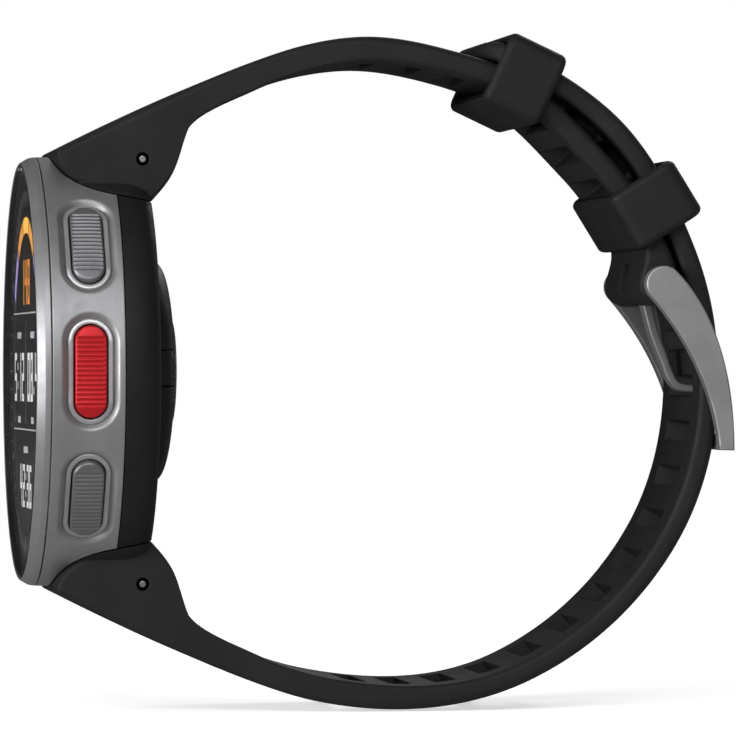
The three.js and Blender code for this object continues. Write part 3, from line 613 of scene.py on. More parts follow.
LUG_FRONT = (-13.5, CASE_R - 0.1)
LUG_BEND = (-13, CASE_R - 3.4)
LUG_MIDDLE = (MID_REAR_Y, CASE_R - 4.4)
LUG_REAR = (REAR_Y, CASE_R - 5.15)
LUG_OUT = CASE_R + 1.5
STRAP_TIP = CASE_R + 0.4


def seat_curve(gap):
    """From the strap's front tip down the case to the back, as the CAD seat runs."""
    start = (LUG_FRONT[0] + gap, LUG_FRONT[1])
    bend = (LUG_BEND[0] + gap, LUG_BEND[1] + gap)
    middle = (LUG_MIDDLE[0], LUG_MIDDLE[1] + gap)
    return [*quadratic(start, bend, middle, 20), (LUG_REAR[0], LUG_REAR[1] + gap)]


def seat_prism(gap, rear_y):
    outline = [(LUG_FRONT[0] + gap, LUG_OUT), *seat_curve(gap)]
    outline += [(rear_y, LUG_REAR[1] + gap), (rear_y, LUG_OUT)]
    return prism("seat", outline, -CASE_R, CASE_R)


def cut_seats(obj):
    boolean(obj, seat_prism(0, REAR_Y + 1))
    return boolean(obj, mirror_z(seat_prism(0, REAR_Y + 1)))


def middle_case():
    rows = 66
    edge = 0.07
    side = [(CASE_R - edge, CASE_FRONT_Y), (CASE_R - edge * 0.3, CASE_FRONT_Y + edge * 0.3)]
    front, back = CASE_FRONT_Y + edge, CASE_BACK_Y - edge
    side += [(CASE_R, front + (back - front) * i / rows) for i in range(rows + 1)]
    side += [(CASE_R - edge * 0.3, CASE_BACK_Y - edge * 0.3), (CASE_R - edge, CASE_BACK_Y)]
    inner = [(GASKET_SEAT_R, CASE_BACK_Y), (GASKET_SEAT_R, GASKET_SEAT_Y), (CASE_BORE_R, GASKET_SEAT_Y)]
    inner += [(CASE_BORE_R, DIAL_SEAT_Y), (DIAL_SEAT_R, DIAL_SEAT_Y), (DIAL_SEAT_R, CASE_FRONT_Y)]

    def radius_at(a, r, y):
        return r - pocket_depth(a, y) if r > CASE_R - edge * 2 else r

    made = turned("case_middle", side + inner, 900, 40, radius_at)
    return cut_seats(made)


def bezel():
    chamfer, slope, side_step = 0.6, 0.06, 0.12
    outline = [
        (BEZEL_BORE_R, BEZEL_BACK_Y),
        (BEZEL_BORE_R, GLASS_FACE_Y - 0.04),
        (CASE_R - chamfer, GLASS_FACE_Y + slope),
        (CASE_R - side_step, BEZEL_BACK_Y - 0.6),
        (CASE_R, BEZEL_BACK_Y),
    ]
    return turned("case_bezel", filleted(outline, [0.03, 0.05, 0.3, 0.3, 0.06]), 320)


def smooth_corner():
    """The rear case's corner, one even curve from the seam to the flat back."""
    return quadratic((CASE_R, MID_REAR_Y), (CASE_R, REAR_Y + 0.1), (REAR_R, REAR_Y), 16)


def ear_prism(gap, half_width):
    front = MID_REAR_Y + 0.5 - gap
    radius = 1.12 + 0.43 + gap
    outline = [(front, CASE_BORE_R), (front, LUG_PIN_Z - 2)]
    for i in range(13):
        a = math.radians(170 - 170 * i / 12)
        outline.append((LUG_PIN_Y + radius * math.cos(a), LUG_PIN_Z + radius * math.sin(a)))
    outline.append((REAR_Y + 0.3 + gap, CASE_BORE_R))
    return prism("ear", outline, -half_width, half_width, 0.2 if gap == 0 else 0)


SCREW_PLACES = [
    (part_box(f"back_screw_{i}")[0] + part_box(f"back_screw_{i}")[1]) / (2 * MM) for i in range(1, 5)
]
SCREW_R = 1.1


def rod(name, radius, start, end, place_at, segments, chamfer):
    """A round bar; place_at puts a point at its distance along the bar and its two offsets from the axis."""
    rings = [(radius - chamfer, start), (radius, start + chamfer)]
    rings += [(radius, end - chamfer), (radius - chamfer, end)]
    if chamfer == 0:
        rings = [(radius, start), (radius, end)]
    angles = [2 * math.pi * k / segments for k in range(segments)]
    loops = [[place_at(along, r * math.cos(a), r * math.sin(a)) for a in angles] for r, along in rings]
    return lofted(name, loops)


def rod_y(name, radius, y0, y1, x, z, segments=48, chamfer=0.0):
    return rod(name, radius, y0, y1, lambda y, p, q: (x + p, y, z + q), segments, chamfer)


def rod_x(name, radius, x0, x1, y, z, segments=48, chamfer=0.0):
    return rod(name, radius, x0, x1, lambda x, p, q: (x, y + p, z + q), segments, chamfer)


def rear_case():
    hole = SENSOR_R + FIT
    floor_y = REAR_Y - REAR_FLOOR_T
    wall = CASE_BORE_R - 0.6
    profile = [*smooth_corner(), (hole + 0.12, REAR_Y), (hole, REAR_Y - 0.12)]
    profile += [(hole, floor_y), (wall, floor_y), (wall, MID_REAR_Y)]
    made = cut_seats(turned("case_rear", profile, 256))
    for side in (1, -1):
        ear = ear_prism(0, EAR_W / 2)
        if side < 0:
            mirror_z(ear)
        boolean(made, ear, "UNION")
    for p in SCREW_PLACES:
        boolean(made, rod_y("hole", SCREW_R + 0.08, REAR_Y - 0.6, REAR_Y + 1, p.x, p.z))
    return made


def back_screw(name, p):
    """A countersunk head with a six-lobed drive."""
    top = REAR_Y - 0.08
    head = rod_y(name, SCREW_R, REAR_Y - 0.56, top, p.x, p.z, 48, 0.1)
    lobes = []
    for y in (top - 0.32, top + 0.5):
        loop = []
        for k in range(72):
            a = 2 * math.pi * k / 72
            r = 0.5 + 0.09 * math.cos(6 * a)
            loop.append((p.x + r * math.cos(a), y, p.z + r * math.sin(a)))
        lobes.append(loop)
    return boolean(head, lofted("drive", lobes))


# ---- Sensor housing ----
sensor_outline = [
    (0, REAR_Y - 1),
    (SENSOR_R, REAR_Y - 1),
    (SENSOR_R, REAR_Y),
    (SENSOR_R - 0.4, -2.1),
    (SENSOR_R - 1.1, -1.29),
    (SENSOR_R - 2.3, -0.86),
    (SENSOR_R - 3.9, -0.56),
    (WINDOW_R + 0.1, -0.2),
    (0, -0.2),
]
PORT_LOW = node_box("charge_port")[0]
PORT_HIGH = node_box("charge_port")[1]


def dome(name):
    lower = sensor_outline[1:3]
    upper = resample(softened(sensor_outline[2:8]), 28)[1:]
    profile = [(0.001, REAR_Y - 1), *lower, *[tuple(q) for q in upper], (0.001, -0.2)]
    return turned(name, profile, 256)


def port_block(gap):
    x0, y0, z0 = (PORT_LOW.x - gap, -3.1 - gap, PORT_LOW.z - gap)
    x1, z1 = SENSOR_R + 1, PORT_HIGH.z + gap
    outline = filleted([(y0, z0), (1, z0), (1, z1), (y0, z1)], 0.35)
    return prism("port_block", outline, x0, x1)


def sensor_cover():
    made = dome("sensor_housing")
    inner = [(0.001, REAR_Y - 2), (SENSOR_R - 1.3, REAR_Y - 2), (SENSOR_R - 1.3, REAR_Y + 0.1)]
    inner += [(SENSOR_R - 4.7, -1.7), (0.001, -1.7)]
    boolean(made, turned("hollow", inner, 96))
    boolean(made, rod_y("window_hole", WINDOW_R + 0.1, -WINDOW_T - 0.1, 1, 0, 0, 128))
    boolean(made, rod_y("light_hole", WINDOW_R - 1, REAR_Y, 1, 0, 0, 96))
    return boolean(made, port_block(FIT))


def charge_port():
    made = boolean(dome("charge_port_insert"), port_block(0), "INTERSECT")
    for i in range(1, 5):
        low, high = node_box(f"charge_contact_{i}")
        x, z = (low.x + high.x) / 2, (low.z + high.z) / 2
        boolean(made, rod_y("hole", 0.34, -5, 1, x, z, 32))
    return made


# ---- Buttons ----
RIB_PITCH = 0.5
RIB_DEPTH = 0.11
RIB_SPAN = 3.75


def rib(z):
    """Height of the crosswise ribs along a cap, fading out at its ends."""
    wave = 0.5 - 0.5 * math.cos(2 * math.pi * z / RIB_PITCH)
    return -RIB_DEPTH * (1 - wave**0.6) * ease((RIB_SPAN - abs(z)) / 0.2)


def edge_drop(inside, edge):
    """How far a rounded edge has fallen at this distance inside the outline."""
    near = min(inside / edge, 1)
    return edge * (1 - math.sqrt(max(1 - (1 - near) ** 2, 0)))


def button_cap(name):
    stations, across, edge, crown = 230, 28, 0.24, 0.05
    half = (CAP_L - CAP_W) / 2
    loops = []
    for i in range(stations + 1):
        z = (2 * i / stations - 1) * CAP_L / 2 * 0.9995
        off = max(abs(z) - half, 0)
        wide = math.sqrt(max((CAP_W / 2) ** 2 - off * off, 0.0004))
        top = math.sqrt((CASE_R + 0.1) ** 2 - z * z)
        end_drop = edge_drop(CAP_W / 2 - off, edge)
        loop = [(CAP_BACK_X, BUTTON_Y - wide, z)]
        for k in range(across + 1):
            u = math.sin((-1 + 2 * k / across) * math.pi / 2)
            y = u * wide
            drop = max(edge_drop(wide - abs(y), edge), end_drop)
            depth = rib(z) * ease((wide - abs(y)) / 0.35)
            loop.append((top - drop - crown * u * u + depth, BUTTON_Y + y, z))
        loop.append((CAP_BACK_X, BUTTON_Y + wide, z))
        loops.append(loop)
    made = lofted(name, loops, smooth=50)
    return joined(name, made, rod_x("stem", 0.7, CASE_BORE_R + 0.1, CAP_BACK_X + 0.3, BUTTON_Y, 0, 32))


def button_ring(name):
    loops = []
    wall = RING_WALL
    section = [
        (0, RING_FLOOR_X),
        (0, RING_TOP_R - 0.1),
        (0.03, RING_TOP_R - 0.03),
        (0.1, RING_TOP_R),
        (wall - 0.1, RING_TOP_R - 0.02),
        (wall - 0.03, RING_TOP_R - 0.06),
        (wall, RING_TOP_R - 0.14),
        (wall, RING_FLOOR_X),
    ]
    outlines = [stadium(RING_W - 2 * inset, RING_L - 2 * inset, 48) for inset, _ in section]
    for k in range(len(outlines[0])):
        loop = []
        for (_, height), outline in zip(section, outlines):
            y, z = outline[k]
            x = height if height == RING_FLOOR_X else math.sqrt(height * height - z * z)
            loop.append((x, y + BUTTON_Y, z))
        loops.append(loop)
    return lofted(name, loops, ring=True, smooth=50)


# ---- Strap ----
HEEL = [(REAR_Y + 1.7, CASE_R - 3.1), (REAR_Y + 2.75, CASE_R - 1.2), (REAR_Y + 3.6, CASE_R + 2)]
STRAP_TURN = CASE_R + 4.2
OUTER_JOIN_DEG = 108
INNER_JOIN_DEG = 115


def ribbon(name, stations, outer_edge, inner_edge, flare=True):
    """A strap skinned through (outer point, inner point, half width) stations, its four edges rounded."""
    steps = 6
    loops = []
    for outer, inner, half in stations:
        o, i = np.array(outer, float), np.array(inner, float)
        thick = float(np.linalg.norm(o - i))
        loop = []
        for sx, from_outer in ((1, True), (1, False), (-1, False), (-1, True)):
            radius = min(outer_edge if from_outer else inner_edge, thick * 0.48, half * 0.95)
            for k in range(steps + 1):
                a = math.pi / 2 * k / steps
                forward = (sx > 0) == from_outer
                along, down = (math.sin(a), math.cos(a)) if forward else (math.cos(a), math.sin(a))
                x = sx * (half - radius + radius * along)
                deep = radius - radius * down
                base, other = (o, i) if from_outer else (i, o)
                point = base + (other - base) * (deep / max(thick, 1e-6))
                widen = 1 + (STRAP_END_W / STRAP_W - 1) * ease((6 - point[0]) / 12) if flare else 1
                loop.append((x * widen, point[0], point[1]))
        loops.append(loop)
    return lofted(name, loops, smooth=40)


def lug_stations(outer_at, inner_at, count=56):
    """From the strap's tip on the case to where it runs free, as drawn for the upper half."""
    oy, oz = polar(outer_at(OUTER_JOIN_DEG), OUTER_JOIN_DEG)
    iy, iz = polar(inner_at(INNER_JOIN_DEG), INNER_JOIN_DEG)
    tip = (LUG_FRONT[0] + FIT, STRAP_TIP)
    outer = bezier((oy, oz), (oy - 7.6, oz - 2.5), (REAR_Y - 2.7, STRAP_TURN), tip, 40)
    turn_in = bezier((iy, iz), (iy - 2.7, iz - 1.3), (REAR_Y + 4.2, STRAP_TURN), HEEL[2], 24)
    heel = softened([HEEL[2], HEEL[1], HEEL[0], (LUG_REAR[0], LUG_REAR[1] + FIT)])
    seat = list(reversed(seat_curve(FIT)))
    inner = turn_in + heel[1:] + seat[1:] + [tip]
    a, b = resample(outer, count), resample(inner, count)
    return [(a[k], b[k], STRAP_W / 2) for k in range(count - 2, 0, -1)]


def strap_end(made):
    """Adds what fills the case's seat beside the strap, then the ear's recess and the pin's bore."""
    profile = [(0.001, CASE_FRONT_Y), (CASE_R - 0.06, CASE_FRONT_Y)]
    profile += [(r - 0.06, y) for r, y in smooth_corner()] + [(0.001, REAR_Y)]
    wings = boolean(turned("wings", profile, 256), seat_prism(FIT, REAR_Y + 1), "INTERSECT")
    boolean(made, wings, "UNION")
    boolean(made, ear_prism(EAR_FIT, EAR_W / 2 + EAR_FIT))
    for x0, x1 in ((-STRAP_END_W, -EAR_W / 2), (EAR_W / 2, STRAP_END_W)):
        boolean(made, rod_x("bore", LUG_PIN_HOLE_R, x0, x1, LUG_PIN_Y, LUG_PIN_Z))
    return made


SLOT_TAPER = 2.2
SLOT_REACH = 4


def slot_block(degrees, radius, length, width, taper, corner=0.5):
    """A cutter with rounded corners through the strap at this angle, narrower outwards by taper per mm."""
    y, z = polar(radius, degrees)
    a = math.radians(degrees)
    loops = []
    for deep in (-SLOT_REACH, SLOT_REACH):
        half = (width - taper * (deep + LOWER_T / 2)) / 2
        outline = [(-length / 2, -half), (length / 2, -half), (length / 2, half), (-length / 2, half)]
        loops.append(
            [
                (q, y + deep * math.cos(a) - p * math.sin(a), z + deep * math.sin(a) + p * math.cos(a))
                for p, q in filleted(outline, corner, 4)
            ]
        )
    return lofted("slot", loops)


def cut_slots(made, first, pitch, count, radius):
    angles = [first + i * pitch for i in range(count)]
    blocks = [slot_block(degrees, radius, SLOT_L, SLOT_W, SLOT_TAPER) for degrees in angles]
    return boolean(made, joined("slots", *blocks))


def skewed(d, outer_at, inner_at, half):
    """A station whose inner point runs ahead of its outer one near the strap's wide end."""
    inner_d = d + (INNER_JOIN_DEG - OUTER_JOIN_DEG) * ease((d - 80) / (OUTER_JOIN_DEG - 80))
    return (polar(outer_at(d), d), polar(inner_at(inner_d), inner_d), half)


def strap_upper():
    stations = lug_stations(upper_outer, upper_flat)
    d = OUTER_JOIN_DEG
    end = PIVOT_DEG - math.degrees(KNUCKLE_R / PIVOT_R) * 0.999
    while d > PIVOT_DEG + 3:
        stations.append(skewed(d, upper_outer_end, upper_inner_end, STRAP_W / 2))
        d -= 1
    for i in range(25):
        d = end + (PIVOT_DEG + 3 - end) * math.cos(math.pi / 2 * i / 24)
        half = STRAP_W / 2 - 0.4 * ease((i - 16) / 8)
        stations.append((polar(upper_outer_end(d), d), polar(upper_inner_end(d), d), half))
    made = ribbon("strap_upper_half", stations, 0.95, 0.6)
    strap_end(made)
    cut_slots(made, 39.8, 8.9, 7, LOOP_R)
    boolean(made, slot_block(PIVOT_DEG - 2, PIVOT_R, 7.4, TANG_W + 0.8, 0, 0.3))
    return boolean(made, rod_x("bore", PIN_R + 0.08, -STRAP_W, STRAP_W, *polar(PIVOT_R, PIVOT_DEG)))


def strap_lower():
    def outer_at(d):
        return lower_outer(-d)

    def inner_at(d):
        return lower_inner(-d)

    stations = lug_stations(outer_at, inner_at)
    d = OUTER_JOIN_DEG
    corner_deg = math.degrees(TAIL_CORNER_R / LOOP_R)
    while d > -LOWER_TIP_DEG + corner_deg:
        stations.append(skewed(d, outer_at, inner_at, STRAP_W / 2))
        d -= 1
    for i in range(40):
        t = math.cos(math.pi / 2 * i / 39.5)
        d = -LOWER_TIP_DEG + corner_deg * t
        off = TAIL_CORNER_R * (1 - t)
        half = STRAP_W / 2 - TAIL_CORNER_R + math.sqrt(max(TAIL_CORNER_R**2 - off * off, 0))
        stations.append((polar(outer_at(d), d), polar(inner_at(d), d), half))
    made = ribbon("strap_lower_half", stations, 0.95, 0.6)
    strap_end(made)
    mirror_z(made)
    return cut_slots(made, -95, 8.4, 20, LOOP_R + LOWER_START - LOWER_TUCKED_T / 2)


# ---- Buckle and keepers ----
def on_loop(outside, degrees):
    return polar(LOOP_R + outside, degrees)


PIVOT = polar(PIVOT_R, PIVOT_DEG)


def buckle():
    y, z = PIVOT
    outline = []
    for i in range(25):
        a = math.radians(38 + (216 - 38) * i / 24)
        outline.append((y + ARM_END_R * math.cos(a), z + ARM_END_R * math.sin(a)))
    tip_in, tip_out = on_loop(3.2, -13.3), on_loop(4.8, -12.8)
    outline += bezier(outline[-1], on_loop(-0.5, 5.2), on_loop(2, -5.2), tip_in, 24)[1:]
    outline += bezier(tip_out, on_loop(3.85, -0.8), on_loop(2.5, 9.8), outline[0], 24)[:-1]
    arms = []
    for side in (1, -1):
        low, high = (ARM_X, ARM_X + ARM_T) if side > 0 else (-ARM_X - ARM_T, -ARM_X)
        arms.append(prism("arm", outline, low, high, 0.22, 3))
    bar_line = filleted([tip_in, tip_out, on_loop(4.4, -10.1), on_loop(3.15, -10.4)], 0.35)
    bar = prism("bar", bar_line, -ARM_X - 0.1, ARM_X + 0.1)
    ny, nz = on_loop(3.8, -11.7)
    half = TANG_W / 2 + 0.3
    notch = [(ny, nz - 3), (ny + 3, nz - 3), (ny + 3, nz + 3), (ny, nz + 3)]
    boolean(bar, prism("notch", notch, -half, half))
    return joined("buckle_body", *arms, bar)


TANG_LINE = [
    (-2.57, 15.3),
    (-2.36, 7.8),
    (-1.52, 2.3),
    (-0.64, -1.6),
    (0.39, -2.9),
    (2.2, -3.1),
    (3.32, -3.4),
    (3.84, -4.9),
    (4.09, -7.7),
    (4.46, -12.2),
]


def catmull(points, steps):
    """A smooth line through the points, steps to each span."""
    first = 2 * np.array(points[0]) - points[1]
    last = 2 * np.array(points[-1]) - points[-2]
    p = [first, *map(np.array, points), last]
    out = []
    for i in range(1, len(p) - 2):
        a, b, c, d = p[i - 1 : i + 3]
        for k in range(steps):
            t = k / steps
            square = (2 * a - 5 * b + 4 * c - d) * t * t
            cube = (3 * b - a - 3 * c + d) * t**3
            out.append(0.5 * (2 * b + (c - a) * t + square + cube))
    return [*out, p[-2]]


def tang():
    line = resample(catmull([np.array(on_loop(*q)) for q in TANG_LINE], 8), 90)
    stations = []
    for i, at in enumerate(line):
        along = line[min(i + 1, 89)] - line[max(i - 1, 0)]
        side = np.array([along[1], -along[0]]) / np.linalg.norm(along)
        thick = 1 + (0.7 - 1) * i / 89
        half = TANG_W / 2 * (1 - 0.25 * ease((i - 72) / 17))
        thick *= math.sqrt(max(1 - max((i - 86) / 4, 0) ** 2, 0.05))
        stations.append((at - side * thick / 2, at + side * thick / 2, half))
    strip = ribbon("strip", stations, 0.2, 0.2, flare=False)
    eye = rod_x("eye", PIN_R + 0.85, -TANG_W / 2, TANG_W / 2, *PIVOT, 48, 0.12)
    return joined("buckle_prong", strip, eye)


def keeper(name, degrees, back, forward):
    """A band round both strap halves, clear of them from back to forward degrees of its place."""
    inner_r = upper_flat(degrees - back) - KEEPER_GAP
    outer_r = lower_flat(degrees + forward) + KEEPER_GAP
    hole_x = STRAP_W / 2 + KEEPER_SIDE_FIT
    outer_x = hole_x + KEEPER_SIDE
    low, high = inner_r - KEEPER_WALL, outer_r + KEEPER_WALL
    a = math.radians(degrees)

    def section(x, r0, r1, corner, s, curved):
        """A loop at the distance s along the strap, which a curved one bends with."""
        loop = []
        for r, across in filleted([(r0, -x), (r1, -x), (r1, x), (r0, x)], corner, 7):
            if curved:
                r = math.sqrt(r * r - s * s)
            y = LOOP_Y + r * math.cos(a) - s * math.sin(a)
            loop.append((across, y, r * math.sin(a) + s * math.cos(a)))
        return loop

    steps = 6
    loops = []
    for sign in (-1, 1):
        for i in range(steps + 1) if sign < 0 else range(steps, -1, -1):
            t = math.pi / 2 * i / steps
            s = sign * (KEEPER_L / 2 - KEEPER_ROUND * (1 - math.cos(t)))
            inset = KEEPER_ROUND * (1 - math.sin(t))
            loops.append(section(outer_x - inset, low + inset, high - inset, KEEPER_CORNERS, s, False))
    bore = [(KEEPER_L / 2 - 0.05, 0.3), (KEEPER_L / 2 - 0.35, 0.0), (0.4, 0.0)]
    bore += [(-s, grow) for s, grow in reversed(bore)]
    for s, grow in bore:
        r0, r1 = inner_r - grow, outer_r + grow
        loops.append(section(hole_x + grow, r0, r1, KEEPER_BORE_CORNER, s, True))
    return lofted(name, loops, ring=True, smooth=50)


# ---- Display ----
MARK_Y = (DISPLAY_Y + GLASS_BACK_Y) / 2


def marks_from(name, outlines):
    """Flat marks just in front of the display, from lists of (x, z) outlines."""
    bm = bmesh.new()
    for outline in outlines:
        bm.faces.new([bm.verts.new((x * MM, MARK_Y * MM, z * MM)) for x, z in outline])
    for face in bm.faces:
        face.normal_update()
        if face.normal.y > 0:
            face.normal_flip()
    mesh = bpy.data.meshes.new(name)
    bm.to_mesh(mesh)
    bm.free()
    obj = bpy.data.objects.new(name, mesh)
    bpy.context.scene.collection.objects.link(obj)
    return obj


SEGMENTS_OF = {
    "0": "abcdef",
    "1": "bc",
    "2": "abged",
    "3": "abgcd",
    "4": "fgbc",
    "5": "afgcd",
    "6": "afgedc",
    "7": "abc",
    "8": "abcdefg",
    "9": "abfgcd",
    "-": "g",
}


def digit(character, x, z, height):
    """Bars of one figure whose lower left corner is at x, z."""
    wide = height * 0.52
    bar = height * 0.15
    mid = z + height / 2
    places = {
        "a": (x, z + height - bar, x + wide, z + height),
        "g": (x, mid - bar / 2, x + wide, mid + bar / 2),
        "d": (x, z, x + wide, z + bar),
        "f": (x, mid, x + bar, z + height),
        "e": (x, z, x + bar, mid),
        "b": (x + wide - bar, mid, x + wide, z + height),
        "c": (x + wide - bar, z, x + wide, mid),
    }
    if character in ":.":
        dots = [z + bar] if character == "." else [z + height * 0.25, z + height * 0.65]
        return [[(x, q), (x + bar, q), (x + bar, q + bar), (x, q + bar)] for q in dots]
    return [
        [(x0, z0), (x1, z0), (x1, z1), (x0, z1)]
        for x0, z0, x1, z1 in (places[s] for s in SEGMENTS_OF[character])
    ]


def figures(text, centre_x, z, height):
    step = height * 0.72
    widths = [step * (0.45 if c in ":." else 1) for c in text]
    x = centre_x - (sum(widths) - height * 0.2) / 2
    out = []
    for character, width in zip(text, widths):
        out += digit(character, x, z, height)
        x += width
    return out


def arc_band(radius0, radius1, start, end):
    """Outline of part of a ring; degrees run from +X towards +Z."""
    steps = max(int(abs(end - start) / 2), 2)
    angles = [math.radians(start + (end - start) * i / steps) for i in range(steps + 1)]
    outer = [(radius1 * math.cos(a), radius1 * math.sin(a)) for a in angles]
    inner = [(radius0 * math.cos(a), radius0 * math.sin(a)) for a in reversed(angles)]
    return outer + inner


def rectangle(x0, z0, x1, z1):
    return [(x0, z0), (x1, z0), (x1, z1), (x0, z1)]


def display():
    gauge = [(150, 128, lit_violet), (126, 104, lit_orange), (102, 78, lit_yellow)]
    gauge += [(76, 54, lit_orange), (52, 30, lit_violet)]
    for i, (start, end, material) in enumerate(gauge):
        band = arc_band(14.9, 16.6, end, start)
        place(marks_from(f"display_gauge_{i + 1}", [band]), "watch", "display", material)
    orange = figures("148", 0, 7.2, 4.8)
    place(marks_from("display_value", orange), "watch", "display", lit_orange)
    white = figures("5:12", -8.2, -3.2, 5.2) + figures("08.4", 8.2, -3.2, 5.2)
    white += figures("42:36", 0, -14.6, 4.6)
    place(marks_from("display_figures", white), "watch", "display", lit_white)
    grey = [rectangle(-15.5, 6.2, 15.5, 6.35), rectangle(-15.5, -6.3, 15.5, -6.15)]
    grey += [rectangle(-0.08, -5.6, 0.08, 5.6)]
    labels = [(-8.2, 3.9, 2.4), (8.2, 3.9, 2.4), (0, -8.4, 2.6), (-8.2, -5.2, 1.6), (8.2, -5.2, 1.6)]
    for x, z, half in labels:
        grey.append(rectangle(x - half, z - 0.35, x + half, z + 0.35))
    place(marks_from("display_labels", grey), "watch", "display", lit_grey)
    ticks = []
    for i in range(60):
        long = 1.5 if i % 5 == 0 else 0.8
        a = math.radians(6 * i)
        along, across = Vector((math.cos(a), math.sin(a))), Vector((-math.sin(a), math.cos(a))) * 0.09
        start, end = along * (DIAL_RING_R - 0.5 - long), along * (DIAL_RING_R - 0.5)
        corners = (start + across, end + across, end - across, start - across)
        ticks.append([tuple(corner) for corner in corners])
    place(marks_from("dial_ticks", ticks), "watch", "display", lit_grey)
    border = [arc_band(DIAL_RING_R, GLASS_R - 0.1, start, start + 90) for start in (0, 90, 180, 270)]
    place(marks_from("glass_border_print", border), "watch", "cover_glass", dial_black)


# ---- The pieces ----
place(middle_case(), "watch", "case_metal", case_metal, "mid_case")
place(bezel(), "watch", "case_metal", bezel_metal, "bezel_ring")
place(rear_case(), "watch", "black_polymer", polymer, "rear_case")
place(sensor_cover(), "watch", "black_polymer", polymer, "sensor_cover")
place(charge_port(), "watch", "black_polymer", polymer, "charge_port")
for number, where in enumerate(SCREW_PLACES, 1):
    made = back_screw(f"rear_screw_{number}", where)
    place(made, "watch", "steel", steel, f"back_screw_{number}")

glass_outline = [(0.001, GLASS_FACE_Y), (GLASS_R, GLASS_FACE_Y)]
glass_outline += [(GLASS_R, GLASS_BACK_Y), (0.001, GLASS_BACK_Y)]
cover = turned("cover_lens", filleted(glass_outline, [0, 0.12, 0.05, 0]), 256)
place(cover, "watch", "cover_glass", lens, "lens_glass")
window_outline = [(0.001, -WINDOW_T), (WINDOW_R, -WINDOW_T), (WINDOW_R, 0), (0.001, 0)]
window_piece = turned("sensor_glass_disc", filleted(window_outline, [0, 0.05, 0.1, 0]), 192)
place(window_piece, "watch", "sensor_glass", window, "sensor_window")

for key, degrees in BUTTON_DEG.items():
    finish, slot = (red_metal, "red_metal") if key == "ok" else (cap_metal, "button_metal")
    cap = turn(button_cap(f"cap_{key}"), degrees)
    place(cap, f"button_{key}", slot, finish, f"button_{key}")
    guide = turn(button_ring(f"cap_ring_{key}"), degrees)
    place(guide, "watch", "bright_metal", ring_metal, f"button_ring_{key}")

place(strap_upper(), "watch", "strap_rubber", rubber, "strap_upper")
place(strap_lower(), "watch", "strap_rubber", rubber, "strap_lower")
for side, name in ((1, "upper"), (-1, "lower")):
    reach = STRAP_END_W / 2 - 0.3
    made = rod_x(f"lug_pin_{name}", 0.43, -reach, reach, LUG_PIN_Y, side * LUG_PIN_Z, 48, 0.12)
    place(made, "watch", "steel", steel, f"strap_pin_{name}")
place(buckle(), "buckle", "buckle_metal", buckle_metal, "buckle_frame")
place(tang(), "tang", "buckle_metal", buckle_metal, "buckle_tang")
pin = rod_x("buckle_spring_bar", PIN_R, -ARM_X - 1.2, ARM_X + 1.2, *PIVOT, 48, 0.15)
place(pin, "watch", "steel", steel, "buckle_pin")
half_keeper = math.degrees(KEEPER_L / 2 / LOOP_R)
keepers = {
    "keeper_buckle": keeper("keeper_loop_buckle", PIVOT_DEG + KNUCKLE_DEG + half_keeper, 0, 13),
    "keeper_tail": keeper("keeper_loop_tail", 64.8, 9, 7),
}
for node, made in keepers.items():
    place(made, node, "strap_rubber", keeper_rubber, node)
display()

carried_over = {
    "dial_ring": dial_black,
    "display_panel": dial_black,
    "lens_gasket": seal,
    "main_gasket": seal,
    "inner_frame": polymer,
    "circuit_board": board,
    "gps_antenna": gold,
    "battery": foil,
    "vibration_motor": steel,
    "sensor_board": board,
    "sensor_led_a": lamp,
    "sensor_led_b": lamp,
    "photodiode_a": die,
    "photodiode_b": die,
}
for number in range(1, 5):
    carried_over[f"charge_contact_{number}"] = gold
for key in BUTTON_DEG:
    carried_over[f"button_spring_{key}"] = spring_steel
    carried_over[f"button_seal_{key}"] = seal
for node, material in carried_over.items():
    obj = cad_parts[node]
    obj.data.materials.clear()
    obj.data.materials.append(material)
    for polygon in obj.data.polygons:
        polygon.use_smooth = True
    obj.data.set_sharp_from_angle(angle=math.radians(40))

# ---- Stage, light and camera ----
centre = Vector((0, 0.0214, 0.00038))
floor_mesh = bpy.data.meshes.new("floor")
low_z = cad_low.z - 0.0002
floor_reach = 0.45
floor_mesh.from_pydata(
    [(x * floor_reach, y * floor_reach, low_z) for x, y in ((-1, -1), (1, -1), (1, 1), (-1, 1))],
    [],
    [(0, 1, 2, 3)],
)
floor = bpy.data.objects.new("floor", floor_mesh)
bpy.context.scene.collection.objects.link(floor)
floor_shader = Shader("floor_pale", (0.9, 0.9, 0.9), 0.85)
floor_shader.mottle(60.0, 0.01)
floor_shader.bsdf.inputs["Emission Color"].default_value = (1, 1, 1, 1)
floor_shader.bsdf.inputs["Emission Strength"].default_value = 0.6
floor.data.materials.append(floor_shader.material)
floor.visible_glossy = False

world = bpy.data.worlds.new("studio")
bpy.context.scene.world = world
world.use_nodes = True
bpy.context.scene.view_settings.view_transform = "Standard"
tree = world.node_tree
backdrop = tree.nodes["Background"]
backdrop.inputs["Color"].default_value = (1, 1, 1, 1)
surround = tree.nodes.new("ShaderNodeBackground")
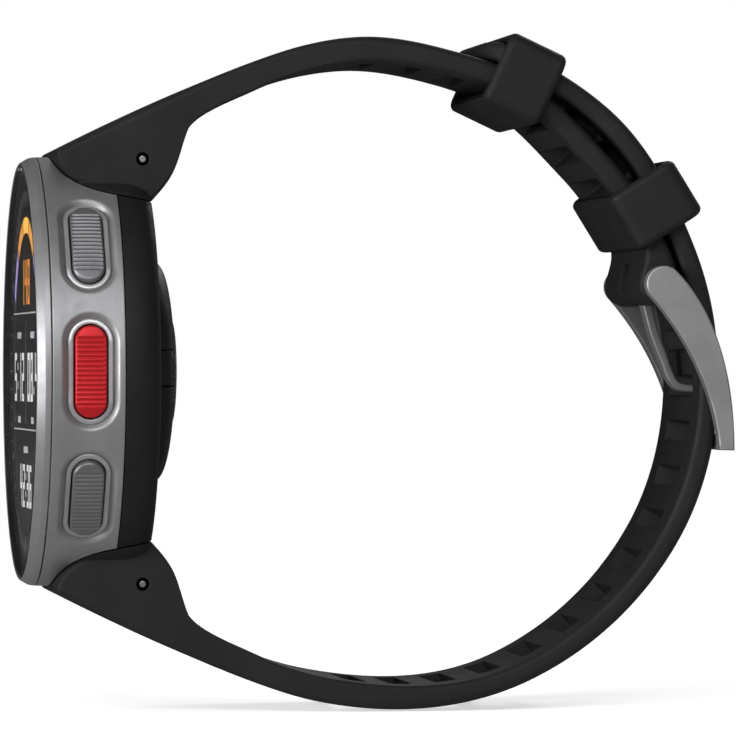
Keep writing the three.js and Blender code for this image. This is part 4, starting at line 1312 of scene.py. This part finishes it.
# The surround is dark on the far side, where the glass would mirror it, as behind a black flag.
direction = tree.nodes.new("ShaderNodeTexCoord")
toward_flag = tree.nodes.new("ShaderNodeVectorMath")
toward_flag.operation = "DOT_PRODUCT"
toward_flag.inputs[1].default_value = (-0.98, -0.2, 0)
tree.links.new(direction.outputs["Generated"], toward_flag.inputs[0])
flagged = tree.nodes.new("ShaderNodeMapRange")
for socket, value in (("From Min", 0.6), ("From Max", 0.9), ("To Min", 0.24), ("To Max", 0.01)):
    flagged.inputs[socket].default_value = value
tree.links.new(toward_flag.outputs["Value"], flagged.inputs["Value"])
tree.links.new(flagged.outputs["Result"], surround.inputs["Strength"])
choose = tree.nodes.new("ShaderNodeMixShader")
rays = tree.nodes.new("ShaderNodeLightPath")
tree.links.new(rays.outputs["Is Camera Ray"], choose.inputs[0])
tree.links.new(surround.outputs[0], choose.inputs[1])
tree.links.new(backdrop.outputs[0], choose.inputs[2])
tree.links.new(choose.outputs[0], tree.nodes["World Output"].inputs["Surface"])


def softbox(name, location, size, power):
    data = bpy.data.lights.new(name, "AREA")
    data.shape = "RECTANGLE"
    data.size, data.size_y = size
    data.energy = power
    light = bpy.data.objects.new(name, data)
    bpy.context.scene.collection.objects.link(light)
    light.location = location
    light.rotation_euler = (centre - Vector(location)).to_track_quat("-Z", "Y").to_euler()
    return light


softbox("key", (0.6, -0.1, 0.36), (0.5, 0.26), 2.4)
softbox("side", (0.34, -0.68, 0.05), (0.3, 0.4), 6.5)
softbox("back", (-0.5, 0.3, 0.35), (0.4, 0.3), 1.1)

camera_data = bpy.data.cameras.new("camera")
camera = bpy.data.objects.new("camera", camera_data)
bpy.context.scene.collection.objects.link(camera)
camera_data.sensor_width = 36
camera_data.lens = 297.4
camera_data.clip_start = 0.01
camera_data.clip_end = 20
yaw = math.radians(8)
camera.location = centre + Vector((math.cos(yaw), -math.sin(yaw), 0)) * 0.658
camera.rotation_euler = (centre - camera.location).to_track_quat("-Z", "Y").to_euler()
bpy.context.scene.camera = camera
